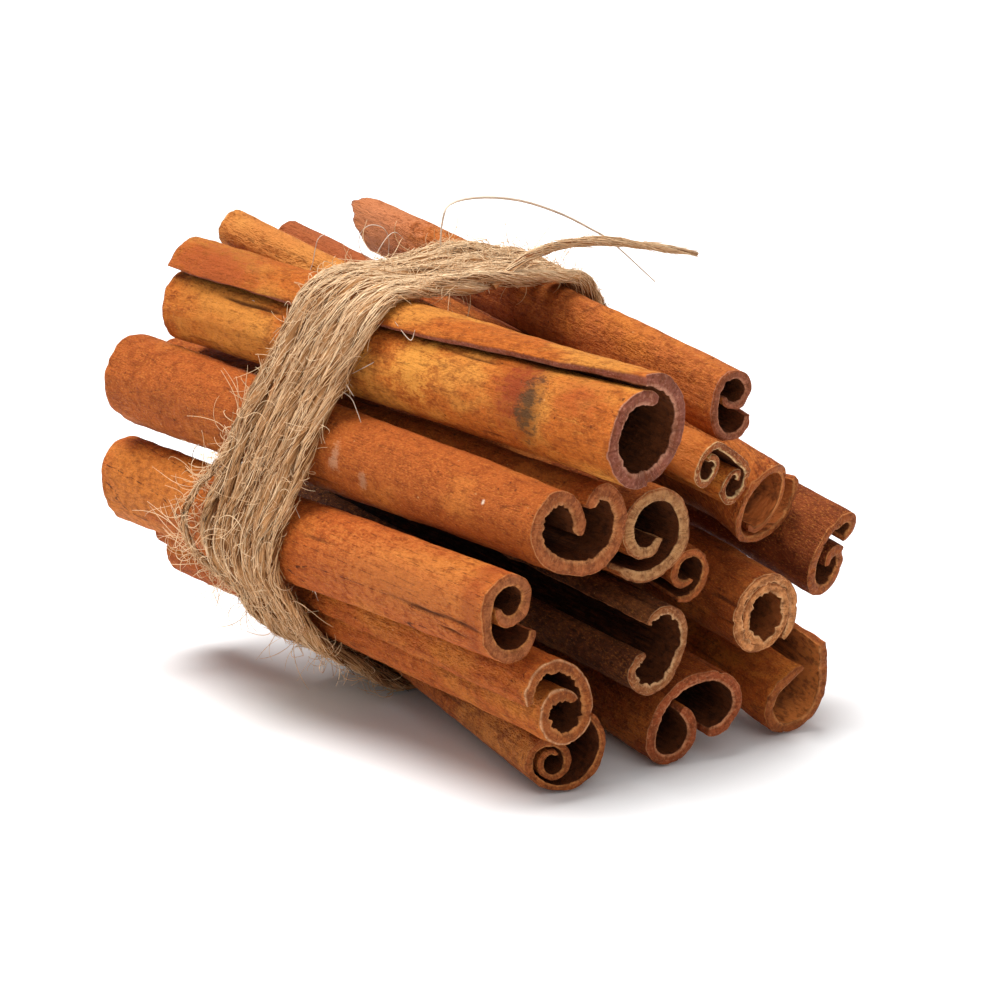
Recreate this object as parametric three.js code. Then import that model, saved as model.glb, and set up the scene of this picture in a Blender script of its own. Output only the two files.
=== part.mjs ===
// A bundle of fifteen cinnamon quills, tied round with jute twine, in millimetres.
// X runs along the quills towards the face of the bundle, Y to its right, Z up.
import * as THREE from "three";

// Driving dimensions.
const QUILL_LENGTH = 80;
const FAR_SIZE = 0.96; // a far end against its near end, where a quill names no size of its own
const BOW = 0.22; // how far the middle of a quill bends sideways
const LENGTH_STEPS = 4;
const ARC_STEP = 21; // degrees of bark between two points of a section
const BOW_TURN = 2.4; // radians from the side one quill bends to, to the side the next one does
const SAW_SLANT = 0.05; // how far a cut end leans, for each millimetre across
const SAW_TURN = 1; // radians from the way one quill's cuts lean, to the way the next one's do

const TWINE = 1.7; // diameter of the jute twine
const TURNS = 8;
const PITCH = 1.85; // from one turn of twine to the next
const BAND_START = -21.2; // X of the first turn, on the X axis
const BAND_LEAN = { y: -0.02, z: 0.2 }; // how far the band leans ahead, for each millimetre of Y and of Z
const TWINE_GAP = 0.3; // between the twine and the outermost bark
const TWINE_SIDES = 6;
const LEAVES_AT_Y = -5.2; // the twine starts and ends on top of the bundle, here

const END_DIAMETER = 0.9; // the free end is one loosened ply of the twine
const END_SIDES = 8;
const END_GAP = 0.75; // from the last turn's cut face to where the free end begins
const END_RISE = [
  // the free end's route: how far it runs to the right, and up, from where it leaves
  [0, 0],
  [2.4, 1.6],
  [4.8, 2.8],
  [7.2, 3.5],
  [9.6, 3.85],
  [12.0, 3.95],
  [14.4, 3.85],
  [16.8, 3.6],
  [19.2, 3.2],
  [21.6, 2.7],
  [24.0, 2.15],
  [26.4, 1.6],
  [28.8, 1.0],
  [31.2, 0.4],
  [33.4, -0.2],
];

const BARK = { color: 0xb8692f, roughness: 0.75, metalness: 0 };
const JUTE = { color: 0xbd9b74, roughness: 0.95, metalness: 0 };

// Each quill is one sheet of bark, rolled up from one edge or from both.
// wall: thickness of the bark. heading: the way the sheet sets off from its inner edge,
// in degrees from the right, seen from the face of the bundle. roll: the arcs that the middle
// of the sheet follows, each [radius, degrees], to the left where the degrees are positive.
// farRoll: the same arcs at the far end, where the sheet is rolled differently there.
// flare: above 1, the sheet keeps its far roll for most of its length and opens near its end.
// near and far: the middle of the quill's two ends, as [Y, Z]. ahead: X of its near end.
// farSize: the far end's size against the near end's.
const QUILLS = [
  {
    // top right: a tight roll above, an open hook below
    wall: 1.0,
    heading: 275,
    roll: [[1.4, 115], [2.1, 215], [6.2, 55], [2.2, 165]],
    near: [5.3, 43.7],
    far: [12.2, 52.1],
    ahead: 37.8,
    farSize: 0.8,
    torn: { reach: 4.5, at: 0.56, width: 0.1 },
  },
  {
    // top left: one wide turn, its outer edge lapping over the inner one; at the far end two lobes
    wall: 1.6,
    heading: 136.4,
    roll: [[3.6, 90], [5.5, 120], [3.5, 27], [7.9, 15.3], [6.1, 155]],
    farRoll: [[2.9, 75.4], [3.7, 145], [3.75, 61.6], [20, 10.8], [4.2, 176]],
    flare: 2.14,
    near: [-12.8, 44.7],
    far: [-22.0, 49.3],
    farSize: 1.06,
    ahead: 43.6,
  },
  {
    // top middle: two small scrolls under one flat back
    wall: 0.9,
    heading: 30,
    roll: [[1.65, -205], [2.5, -213], [60, -8], [2.35, -265], [1.3, -110], [1.6, -45]],
    near: [4.3, 35.5],
    far: [-11.9, 54.3],
    ahead: 37.6,
    farSize: 0.85,
  },
  {
    // right, second row: thin bark in almost two turns
    wall: 1.0,
    heading: 310,
    roll: [[3.7, 130], [4.85, 262], [13, 30], [3.9, 135]],
    farRoll: [[1.6, 20], [2.7, 240], [3.6, 60], [3.4, 160]],
    flare: 3,
    near: [16.1, 28.9],
    far: [-3.6, 52.2],
    ahead: 32.9,
    farSize: 0.82,
  },
  {
    // far right: two curls that meet on the right, like a 3
    wall: 1.35,
    heading: 5,
    roll: [[1.5, 180], [5.7, 100], [3.0, 180], [1.6, 115], [0.9, 90]],
    near: [25.6, 20.8],
    far: [12.1, 42.3],
    ahead: 34.1,
  },
  {
    // right, third row: a thick ring of two turns, one on the other
    wall: 1.0,
    heading: 180,
    roll: [[2.8, -90], [50, -1.4], [3.05, -178], [50, -1.4], [3.65, -178], [50, -1.4], [4.25, -178],
      [50, -1.4], [4.5, -45]],
    near: [10.4, 17.3],
    far: [14.4, 27.8],
    ahead: 39.0,
  },
  {
    // left, second row: a heart, one edge tucked in behind the other
    wall: 1.75,
    heading: 100,
    roll: [[15, 13], [3.0, 118], [4.1, 90], [11, 37], [4.8, 145], [1.8, 90], [5, 16]],
    farRoll: [[15, 13], [3.4, 118], [4.4, 90], [11, 32], [4.6, 130], [2.5, 85], [4, 0.5]],
    near: [-18.1, 32.2],
    far: [-24.9, 36.7],
    ahead: 37.8,
    farSize: 1.14,
  },
  {
    // middle: a single open spiral
    wall: 1.45,
    heading: 255,
    roll: [[2.3, -135], [4.0, -120], [3.4, -40], [5.3, -185]],
    near: [-6.3, 29.6],
    far: [-1.6, 32.8],
    ahead: 37.3,
  },
  {
    // middle: the thinnest quill, a small spiral
    wall: 1.05,
    heading: 230,
    roll: [[1.6, -118], [2.2, -147], [3.1, -160]],
    near: [0.4, 23.2],
    far: [8.3, 33.1],
    ahead: 36.3,
  },
  {
    // far left: a roll above and a thick hook below
    wall: 1.4,
    heading: 270,
    roll: [[1.8, 105], [2.5, 155], [3.3, 90], [7.4, 35], [3.7, 136]],
    near: [-28.3, 23.7],
    far: [-27.9, 23.7],
    ahead: 37.9,
    farSize: 1.05,
  },
  {
    // middle, lower row: open on the left, both edges turned in
    wall: 1.1,
    heading: 60,
    roll: [[2.9, -90], [4.1, -80], [15, -12], [3.7, -112], [2.0, -100], [1.2, -50]],
    near: [-6.2, 15.7],
    far: [-2.4, 21.4],
    ahead: 38.4,
  },
  {
    // left, lower row: a wide arc that winds in to a round roll
    wall: 1.3,
    heading: 110,
    roll: [[3.3, -115], [5.6, -95], [3.3, -155], [2.5, -165]],
    near: [-22.3, 12.6],
    far: [-20.8, 15.0],
    ahead: 39.3,
  },
  {
    // bottom left: a tight little roll in a wide thin shell, crossing under the bundle
    wall: 0.85,
    heading: 317,
    roll: [[5.0, -190], [2.5, -240], [1.7, -215], [0.95, -85]],
    near: [-18.8, 4.8],
    far: [0.8, 8.3],
    ahead: 36.3,
  },
  {
    // bottom middle: a wide double scroll, curled in on the left
    wall: 1.25,
    heading: 330,
    roll: [[3.4, -130], [2.5, -105], [7.3, -92], [4.9, -55], [3.4, -138]],
    near: [0.3, 5.8],
    far: [12.6, 10.2],
    ahead: 37.7,
  },
  {
    // bottom right: a deep open trough with one edge bent in
    wall: 1.25,
    heading: 210,
    roll: [[30, 6], [3.7, 105], [4.0, 122], [14.3, 33]],
    near: [16.7, 6.2],
    far: [20.0, 20.8],
    ahead: 38.0,
  },
];

// The arcs of a quill's roll at t of its length, each with the steps it is walked in. t is 0 at
// the far end and 1 at the near end.
function arcsAt({ roll, farRoll = roll, flare = 1 }, t) {
  const open = Math.max(t, 0) ** flare;
  return roll.map(([radius, degrees], i) => {
    const [farRadius, farDegrees] = farRoll[i];
    const widest = Math.max(Math.abs(degrees), Math.abs(farDegrees));
    return {
      radius: THREE.MathUtils.lerp(farRadius, radius, open),
      degrees: THREE.MathUtils.lerp(farDegrees, degrees, open),
      steps: Math.max(1, Math.round(widest / ARC_STEP)),
    };
  });
}

// The middle line of a rolled sheet, walked arc by arc: each point with the sheet's normal there.
function sheetLine(quill, t) {
  const at = new THREE.Vector2();
  let angle = THREE.MathUtils.degToRad(quill.heading);
  const normal = () => new THREE.Vector2(-Math.sin(angle), Math.cos(angle));
  const line = [{ at: at.clone(), normal: normal() }];
  for (const { radius, degrees, steps } of arcsAt(quill, t)) {
    const turn = THREE.MathUtils.degToRad(degrees) / steps;
    for (let i = 0; i < steps; i++) {
      const centre = at.clone().addScaledVector(normal(), Math.sign(degrees) * radius);
      at.rotateAround(centre, turn);
      angle += turn;
      line.push({ at: at.clone(), normal: normal() });
    }
  }
  return line;
}

// The closed outline of a quill's section at t, with its bounding box centred on the quill's axis.
function sectionOutline(quill, t) {
  const line = sheetLine(quill, t);
  const half = quill.wall / 2;
  const side = (sign) => line.map(({ at, normal }) => at.clone().addScaledVector(normal, sign * half));
  const outline = [...side(-1), ...side(1).reverse()];
  const middle = new THREE.Box2().setFromPoints(outline).getCenter(new THREE.Vector2());
  const size = THREE.MathUtils.lerp(quill.farSize ?? FAR_SIZE, 1, t);
  return outline.map((point) => point.sub(middle).multiplyScalar(size));
}

// Where a quill lies: its far end, its axis towards the near end, and its section's two directions.
function quillFrame({ near, far, ahead }) {
  const across = Math.hypot(near[0] - far[0], near[1] - far[1]);
  const run = Math.sqrt(QUILL_LENGTH ** 2 - across ** 2);
  const start = new THREE.Vector3(ahead - run, ...far);
  const axis = new THREE.Vector3(ahead, ...near).sub(start).normalize();
  const right = new THREE.Vector3(-axis.y, axis.x, 0).normalize();
  return { start, axis, right, up: axis.clone().cross(right) };
}

// The quill as a solid: its section drawn out along its length, bowed, and cut off a little out
// of square. A torn far end runs out in a tongue at one place round the sheet.
function quillGeometry(quill, index) {
  const nearOutline = sectionOutline(quill, 1);
  const geometry = new THREE.ExtrudeGeometry(new THREE.Shape(nearOutline), {
    depth: QUILL_LENGTH,
    steps: LENGTH_STEPS,
    bevelEnabled: false,
  });
  const corner = new Map(nearOutline.map((point, i) => [key(point.x, point.y), i]));
  const outlines = new Map();
  const bowTo = BOW_TURN * index;
  const leanTo = SAW_TURN * index;
  const position = geometry.getAttribute("position");
  for (let i = 0; i < position.count; i++) {
    const t = position.getZ(i) / QUILL_LENGTH;
    if (!outlines.has(t)) outlines.set(t, sectionOutline(quill, t));
    const which = corner.get(key(position.getX(i), position.getY(i)));
    const point = outlines.get(t)[which];
    const bend = BOW * Math.sin(Math.PI * t);
    const lean = SAW_SLANT * (point.x * Math.cos(leanTo) + point.y * Math.sin(leanTo)) * (2 * t - 1);
    position.setXYZ(
      i,
      point.x + bend * Math.cos(bowTo),
      point.y + bend * Math.sin(bowTo),
      t * QUILL_LENGTH + lean - (t === 0 ? tongue(quill, which / nearOutline.length) : 0),
    );
  }
  return geometry;
}

// How far a torn end runs out, at a place round the outline: 0 to 0.5 along one face of the sheet,
// and back along the other.
function tongue({ torn }, place) {
  if (!torn) return 0;
  const along = 2 * Math.min(place, 1 - place);
  return torn.reach * Math.exp(-(((along - torn.at) / torn.width) ** 2));
}

// A point of an outline as text, to look it up by.
function key(x, y) {
  return x.toFixed(2) + " " + y.toFixed(2);
}

function makeQuill(quill, index) {
  const { start, axis, right, up } = quillFrame(quill);
  const mesh = new THREE.Mesh(quillGeometry(quill, index), new THREE.MeshStandardMaterial(BARK));
  mesh.name = "stick_" + String(index + 1).padStart(2, "0");
  mesh.position.copy(start);
  mesh.quaternion.setFromRotationMatrix(new THREE.Matrix4().makeBasis(right, up, axis));
  return mesh;
}

// X, Y and Z of the corners of every quill where the leaning plane of the band, which meets the
// X axis at x, cuts the bundle.
function bundleSection(x) {
  const { y: leanY, z: leanZ } = BAND_LEAN;
  const ahead = (point) => point.x - leanY * point.y - leanZ * point.z;
  return QUILLS.flatMap((quill) => {
    const { start, axis, right, up } = quillFrame(quill);
    const t = (x - ahead(start)) / (ahead(axis) * QUILL_LENGTH);
    return sectionOutline(quill, t).map((corner) => {
      const line = start.clone().addScaledVector(right, corner.x).addScaledVector(up, corner.y);
      return line.addScaledVector(axis, (x - ahead(line)) / ahead(axis));
    });
  });
}

// The corners of the convex hull of some points, seen along X, as indices, clockwise from the top.
function hullCorners(points) {
  const order = points.map((_, i) => i);
  order.sort((i, j) => points[i].y - points[j].y || points[i].z - points[j].z);
  const flat = (i) => new THREE.Vector2(points[i].y, points[i].z);
  const turn = (i, j, k) => flat(j).sub(flat(i)).cross(flat(k).sub(flat(j)));
  const half = (indices) => {
    const chain = [];
    for (const i of indices) {
      while (chain.length > 1 && turn(chain.at(-2), chain.at(-1), i) >= 0) chain.pop();
      chain.push(i);
    }
    return chain.slice(0, -1);
  };
  const hull = [...half(order), ...half(order.reverse())];
  const isRight = (i) => points[i].y > LEAVES_AT_Y;
  const top = hull.findIndex((i, at) => !isRight(i) && isRight(hull[(at + 1) % hull.length]));
  return [...hull.slice(top + 1), ...hull.slice(0, top + 1)];
}

// The corners that twine pulled tight round the bundle at x bends over: which point of the
// bundle's section each one is, how far the middle of the twine stands off from it, and the
// length of twine from there to the next.
function twineCorners(x) {
  const section = bundleSection(x);
  const hull = hullCorners(section);
  const point = (at) => section[hull[(at + hull.length) % hull.length]];
  const outward = (at) => {
    const along = point(at + 1).clone().sub(point(at)).setX(0).normalize();
    return new THREE.Vector3(0, -along.z, along.y);
  };
  const stand = TWINE / 2 + TWINE_GAP + BOW;
  return hull.map((index, at) => {
    const miter = outward(at - 1).add(outward(at)).normalize();
    const off = miter.multiplyScalar(stand / miter.dot(outward(at)));
    return { index, off, leg: point(at).distanceTo(point(at + 1)) };
  });
}

// The twine's way round the bundle, turn by turn from the far side of the band to the near side.
function twineRoute() {
  const route = [];
  for (let turn = 0; turn < TURNS; turn++) {
    const corners = twineCorners(BAND_START + PITCH * (turn + 0.5));
    const round = corners.reduce((sum, { leg }) => sum + leg, 0);
    let run = 0;
    for (const { index, off, leg } of corners) {
      const x = BAND_START + PITCH * (turn + run / round);
      route.push(bundleSection(x)[index].add(off));
      run += leg;
    }
  }
  const end = BAND_START + PITCH * TURNS;
  const section = bundleSection(end);
  const corners = twineCorners(end);
  const [after, before] = [corners[0], corners.at(-1)].map(({ index, off }) => section[index].add(off));
  route.push(before.lerp(after, (LEAVES_AT_Y - before.y) / (after.y - before.y)));
  return route;
}

// A smooth line through points that lie closer together where it bends: it is cut at its points.
class Route extends THREE.CatmullRomCurve3 {
  getUtoTmapping(u) {
    return u;
  }
}

// A round cord along a route.
function cordGeometry(route, diameter, sides) {
  const section = new THREE.Shape();
  for (let i = 0; i < sides; i++) {
    const angle = (2 * Math.PI * i) / sides;
    section[i ? "lineTo" : "moveTo"]((diameter / 2) * Math.cos(angle), (diameter / 2) * Math.sin(angle));
  }
  section.closePath();
  return new THREE.ExtrudeGeometry(section, {
    extrudePath: new Route(route),
    steps: route.length - 1,
  });
}

function makeTwineWrap(route) {
  const geometry = cordGeometry(route, TWINE, TWINE_SIDES);
  const mesh = new THREE.Mesh(geometry, new THREE.MeshStandardMaterial(JUTE));
  mesh.name = "twine_wrap";
  return mesh;
}

// The free end leaves the last turn on top of the bundle and springs out to the right.
function makeTwineEnd(route) {
  const leaves = route.at(-1);
  const ends = END_RISE.map(([run, rise]) => (
    new THREE.Vector3(leaves.x, leaves.y + END_GAP + run, leaves.z + rise)
  ));
  const geometry = cordGeometry(ends, END_DIAMETER, END_SIDES);
  const mesh = new THREE.Mesh(geometry, new THREE.MeshStandardMaterial(JUTE));
  mesh.name = "twine_end";
  return mesh;
}

// The origin is under the middle of the bundle, on the surface that it lies on. The free end of
// the twine doesn't count.
function standOnOrigin(group) {
  const box = new THREE.Box3();
  const tied = group.children.filter((mesh) => mesh.name !== "twine_end");
  tied.forEach((mesh) => box.expandByObject(mesh, true));
  const middle = box.getCenter(new THREE.Vector3());
  group.position.set(-middle.x, -middle.y, -box.min.z);
}

const bundle = new THREE.Group();
QUILLS.forEach((quill, index) => bundle.add(makeQuill(quill, index)));
const route = twineRoute();
bundle.add(makeTwineWrap(route));
bundle.add(makeTwineEnd(route));
standOnOrigin(bundle);

export default bundle;
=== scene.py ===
"""A bundle of fifteen cinnamon quills tied round with jute twine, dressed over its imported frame.

Lengths are in millimetres in the frame of the quills' own list, and become metres in the meshes.
"""

from __future__ import annotations

import logging
import math
import sys
from collections.abc import Sequence
from dataclasses import dataclass, field, replace
from enum import Enum
from typing import Any

import bpy
import numpy as np
from mathutils import Matrix, Vector

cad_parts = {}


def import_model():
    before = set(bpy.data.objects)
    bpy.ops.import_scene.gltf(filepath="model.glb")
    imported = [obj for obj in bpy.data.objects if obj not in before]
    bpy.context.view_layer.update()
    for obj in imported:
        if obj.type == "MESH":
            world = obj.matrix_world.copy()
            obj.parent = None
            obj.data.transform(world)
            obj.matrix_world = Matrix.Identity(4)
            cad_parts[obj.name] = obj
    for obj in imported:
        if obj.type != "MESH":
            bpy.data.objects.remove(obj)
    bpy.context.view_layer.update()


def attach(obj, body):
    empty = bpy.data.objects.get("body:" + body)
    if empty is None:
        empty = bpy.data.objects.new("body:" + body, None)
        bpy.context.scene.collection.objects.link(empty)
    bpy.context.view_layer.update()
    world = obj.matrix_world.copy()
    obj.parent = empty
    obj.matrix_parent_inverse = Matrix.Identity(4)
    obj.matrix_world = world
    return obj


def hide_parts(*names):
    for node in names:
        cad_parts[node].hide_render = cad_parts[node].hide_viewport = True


LOG = logging.getLogger("cinnamon")

MM = 0.001
SHIFT = np.array([0.6720, 2.5673, 0.0114])  # from the quills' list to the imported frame
QUILL_LENGTH = 80.0
BOW = 0.22  # how far a quill's middle bows aside
BOW_TURN = 2.4  # from one quill's way of bowing to the next one's, in radians
SAW_SLANT = 0.05  # how steeply the cut ends slant
SAW_TURN = 1.0  # from one quill's way of slanting to the next one's, in radians
ARC_STEP = 21.0  # how much of an arc one step of its outline takes, in degrees
PLY_LAY = 19.0  # how far a ply of the twine runs while it goes once round
LINE_STEP = 0.5  # from one point of the twine's line to the next
LOWEST = 0.25  # how low the middle of a fibre may lie
LAID_RADII = (0.035, 0.075)  # from the thinnest laid fibre to the thickest
HAIR_RADII = (0.028, 0.055)  # from the thinnest flying hair to the thickest
PLY_SHARE = 0.6  # the share of the fibres that lie along the plies

Colour = tuple[float, float, float]
Arc = tuple[float, float]


def srgb(*parts: float) -> Colour:
    """Turn a colour from 0 to 255 as screens show it into a shader's linear one.

    Args:
        parts: The red, green and blue parts.

    Returns:
        The linear colour.
    """
    shown = [part / 255 for part in parts]
    return tuple(part / 12.92 if part <= 0.04045 else ((part + 0.055) / 1.055) ** 2.4 for part in shown)


class Relief:
    """Smooth seeded noise over a sheet, from -1 to 1."""

    SIZE = 128

    def __init__(self, seed: int) -> None:
        """Draw the noise's table.

        Args:
            seed: Which noise this is.
        """
        self.table = np.random.default_rng(seed).uniform(-1, 1, (self.SIZE, self.SIZE))

    def at(self, x: np.ndarray, y: np.ndarray) -> np.ndarray:
        """Read the noise.

        Args:
            x: Places across the sheet, in cells.
            y: Places along the sheet, in cells.

        Returns:
            The noise at each place.
        """
        x, y = np.broadcast_arrays(x, y)
        left, low = np.floor(x).astype(int), np.floor(y).astype(int)
        across, along = x - left, y - low
        across, along = (part * part * (3 - 2 * part) for part in (across, along))
        table, size = self.table, self.SIZE
        near, beyond = left % size, (left + 1) % size
        under, over = low % size, (low + 1) % size
        bottom = table[near, under] * (1 - across) + table[beyond, under] * across
        top = table[near, over] * (1 - across) + table[beyond, over] * across
        return bottom * (1 - along) + top * along

    def rough(self, x: np.ndarray, y: np.ndarray, octaves: int = 3) -> np.ndarray:
        """Read the noise with finer noise upon it.

        Args:
            x: Places across the sheet, in cells.
            y: Places along the sheet, in cells.
            octaves: How many layers there are, each half the size of the last.

        Returns:
            The sum at each place, about -1 to 1.
        """
        layers = range(octaves)
        total = sum(self.at(x * 2**k + 17 * k, y * 2**k + 31 * k) / 2**k for k in layers)
        return total / sum(1 / 2**k for k in layers)


class Wire:
    """A shader's socket that Python's operators add Math nodes to."""

    def __init__(self, graph: Graph, socket: bpy.types.NodeSocket | None) -> None:
        """Hold a socket.

        Args:
            graph: The material that the socket is in.
            socket: The output that is held.
        """
        self.graph = graph
        self.socket = socket

    def maths(self, operation: str, other: Any) -> Wire:
        """Add one Math node.

        Args:
            operation: What the node does with this socket and the other value.
            other: The other value or link.

        Returns:
            The node's result.
        """
        return self.graph.add("ShaderNodeMath", {"operation": operation}, {0: self, 1: other})

    def __add__(self, other: Any) -> Wire:
        """Add."""
        return self.maths("ADD", other)

    __radd__ = __add__

    def __sub__(self, other: Any) -> Wire:
        """Take away."""
        return self.maths("SUBTRACT", other)

    def __mul__(self, other: Any) -> Wire:
        """Multiply."""
        return self.maths("MULTIPLY", other)

    def between(self, low: float, high: float) -> Wire:
        """Turn low to high into 0 to 1, smoothly, and hold it there outside.

        Args:
            low: What becomes 0.
            high: What becomes 1.

        Returns:
            The new value.
        """
        inputs = {"Value": self, "From Min": low, "From Max": high}
        return self.graph.add("ShaderNodeMapRange", {"interpolation_type": "SMOOTHSTEP"}, inputs)


class Graph:
    """The node tree of one material."""

    def __init__(self, name: str) -> None:
        """Make an empty material.

        Args:
            name: The material's name.
        """
        self.material = bpy.data.materials.new(name)
        self.material.use_nodes = True
        self.tree = self.material.node_tree
        self.tree.nodes.clear()

    def add(
        self,
        kind: str,
        settings: dict[str, Any] | None = None,
        inputs: dict[str | int, Any] | None = None,
        output: str | int = 0,
    ) -> Wire:
        """Add a node of any kind.

        Args:
            kind: The node's type.
            settings: Its settings, and a ramp's stops as pairs of place and colour.
            inputs: The values or links of its sockets.
            output: Which of its outputs is wanted.

        Returns:
            That output.
        """
        node = self.tree.nodes.new(kind)
        for name, value in (settings or {}).items():
            if name == "stops":
                self.set_stops(node.color_ramp, value)
            else:
                setattr(node, name, value)
        for name, value in (inputs or {}).items():
            socket = self.enabled(node.inputs, name)
            if isinstance(value, Wire):
                self.tree.links.new(value.socket, socket)
            elif socket.type == "RGBA" and len(value) == 3:
                socket.default_value = (*value, 1)
            else:
                socket.default_value = value
        return Wire(self, self.enabled(node.outputs, output) if node.outputs else None)

    @staticmethod
    def enabled(sockets: Any, name: str | int) -> bpy.types.NodeSocket:
        """Find a socket by its place, or by its name among those that are in use."""
        if isinstance(name, int):
            return sockets[name]
        return next(socket for socket in sockets if socket.name == name and socket.enabled)

    @staticmethod
    def set_stops(ramp: bpy.types.ColorRamp, stops: Sequence[tuple[float, Colour]]) -> None:
        """Give a colour ramp its stops.

        Args:
            ramp: The ramp.
            stops: Its places and colours.
        """
        while len(ramp.elements) < len(stops):
            ramp.elements.new(1)
        for element, (place, colour) in zip(ramp.elements, stops):
            element.position = place
            element.color = (*colour, 1)

    def mix(self, share: Any, first: Any, second: Any, blend: str = "MIX") -> Wire:
        """Mix two colours.

        Args:
            share: How much of the second there is.
            first: The first colour.
            second: The second colour.
            blend: How they are mixed.

        Returns:
            The mixed colour.
        """
        settings = {"data_type": "RGBA", "blend_type": blend}
        inputs = {"Factor": share, "A": first, "B": second}
        return self.add("ShaderNodeMix", settings, inputs, "Result")

    def layered(self, colour: Any, layers: Sequence[tuple[Wire, float, Colour]]) -> Any:
        """Lay colours over one another.

        Args:
            colour: The lowest colour.
            layers: Where each colour above it is, how much it covers there, and the colour.

        Returns:
            The colour that they make.
        """
        for where, share, over in layers:
            colour = self.mix(where * share, colour, over)
        return colour

    def attribute(self, name: str, output: str = "Fac") -> Wire:
        """Read one of the piece's own attributes.

        Args:
            name: The attribute's name.
            output: Whether it is read as a number or as a vector.

        Returns:
            Its value.
        """
        return self.add("ShaderNodeAttribute", {"attribute_name": name}, output=output)

    def stretch(self, place: Wire, scale: Colour, shift: Colour = (0, 0, 0)) -> Wire:
        """Scale and shift a place.

        Args:
            place: The place.
            scale: What its parts are multiplied by.
            shift: What is added to them then.

        Returns:
            The new place.
        """
        inputs = {0: place, 1: scale, 2: shift}
        return self.add("ShaderNodeVectorMath", {"operation": "MULTIPLY_ADD"}, inputs)

    def noise(self, place: Wire, scale: Colour, seed: float, detail: float = 3) -> Wire:
        """Read noise at a place.

        Args:
            place: The place.
            scale: Cells of noise in each centimetre, along each part of the place.
            seed: Which noise this is.
            detail: How many finer layers it has.

        Returns:
            The noise, about 0.3 to 0.7.
        """
        where = self.stretch(place, scale, (seed, seed * 0.7, seed * 1.3))
        inputs = {"Vector": where, "Scale": 1.0, "Detail": detail, "Roughness": 0.6}
        return self.add("ShaderNodeTexNoise", {}, inputs)

    def finish(
        self, colour: Wire, roughness: Any, height: Wire, depth: float, specular: float
    ) -> bpy.types.Material:
        """End the tree in one shader.

        Args:
            colour: The base colour.
            roughness: The roughness.
            height: The height of the fine relief.
            depth: How deep that relief is, in metres.
            specular: How much it mirrors.

        Returns:
            The material.
        """
        bump = self.add("ShaderNodeBump", {}, {"Strength": 1.0, "Distance": depth, "Height": height})
        inputs = {"Base Color": colour, "Roughness": roughness, "Normal": bump}
        shader = self.add("ShaderNodeBsdfPrincipled", {}, inputs | {"Specular IOR Level": specular})
        self.add("ShaderNodeOutputMaterial", {}, {"Surface": shader})
        return self.material


class Slot(Enum):
    """Names of slots for materials; nothing here uses them."""

    BARK = "bark"
    TWINE = "twine"


@dataclass(frozen=True)
class Mark:
    """A stain on the outer side of a quill.

    Attributes:
        across: Its middle across the sheet, in centimetres.
        along: Its middle along the sheet, in centimetres from the far end.
        wide: Half of its width, in centimetres.
        long: Half of its length, in centimetres.
        colour: Its colour.
        strength: How much it covers, from 0 to 1.
    """

    across: float
    along: float
    wide: float
    long: float
    colour: Colour
    strength: float

    def inside(self, graph: Graph, flat: Wire, ragged: Wire) -> Wire:
        """Work out where the stain is.

        Args:
            graph: The bark's material.
            flat: Places on the sheet.
            ragged: What makes the stain's edge uneven.

        Returns:
            0 outside the stain and 1 inside it.
        """
        scale = (1 / self.wide, 1 / self.long, 0)
        shift = (-self.across / self.wide, -self.along / self.long, 0)
        place = graph.stretch(flat, scale, shift)
        away = graph.add("ShaderNodeVectorMath", {"operation": "LENGTH"}, {0: place}, 1)
        return (away + ragged).between(1.3, 0.2)


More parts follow.
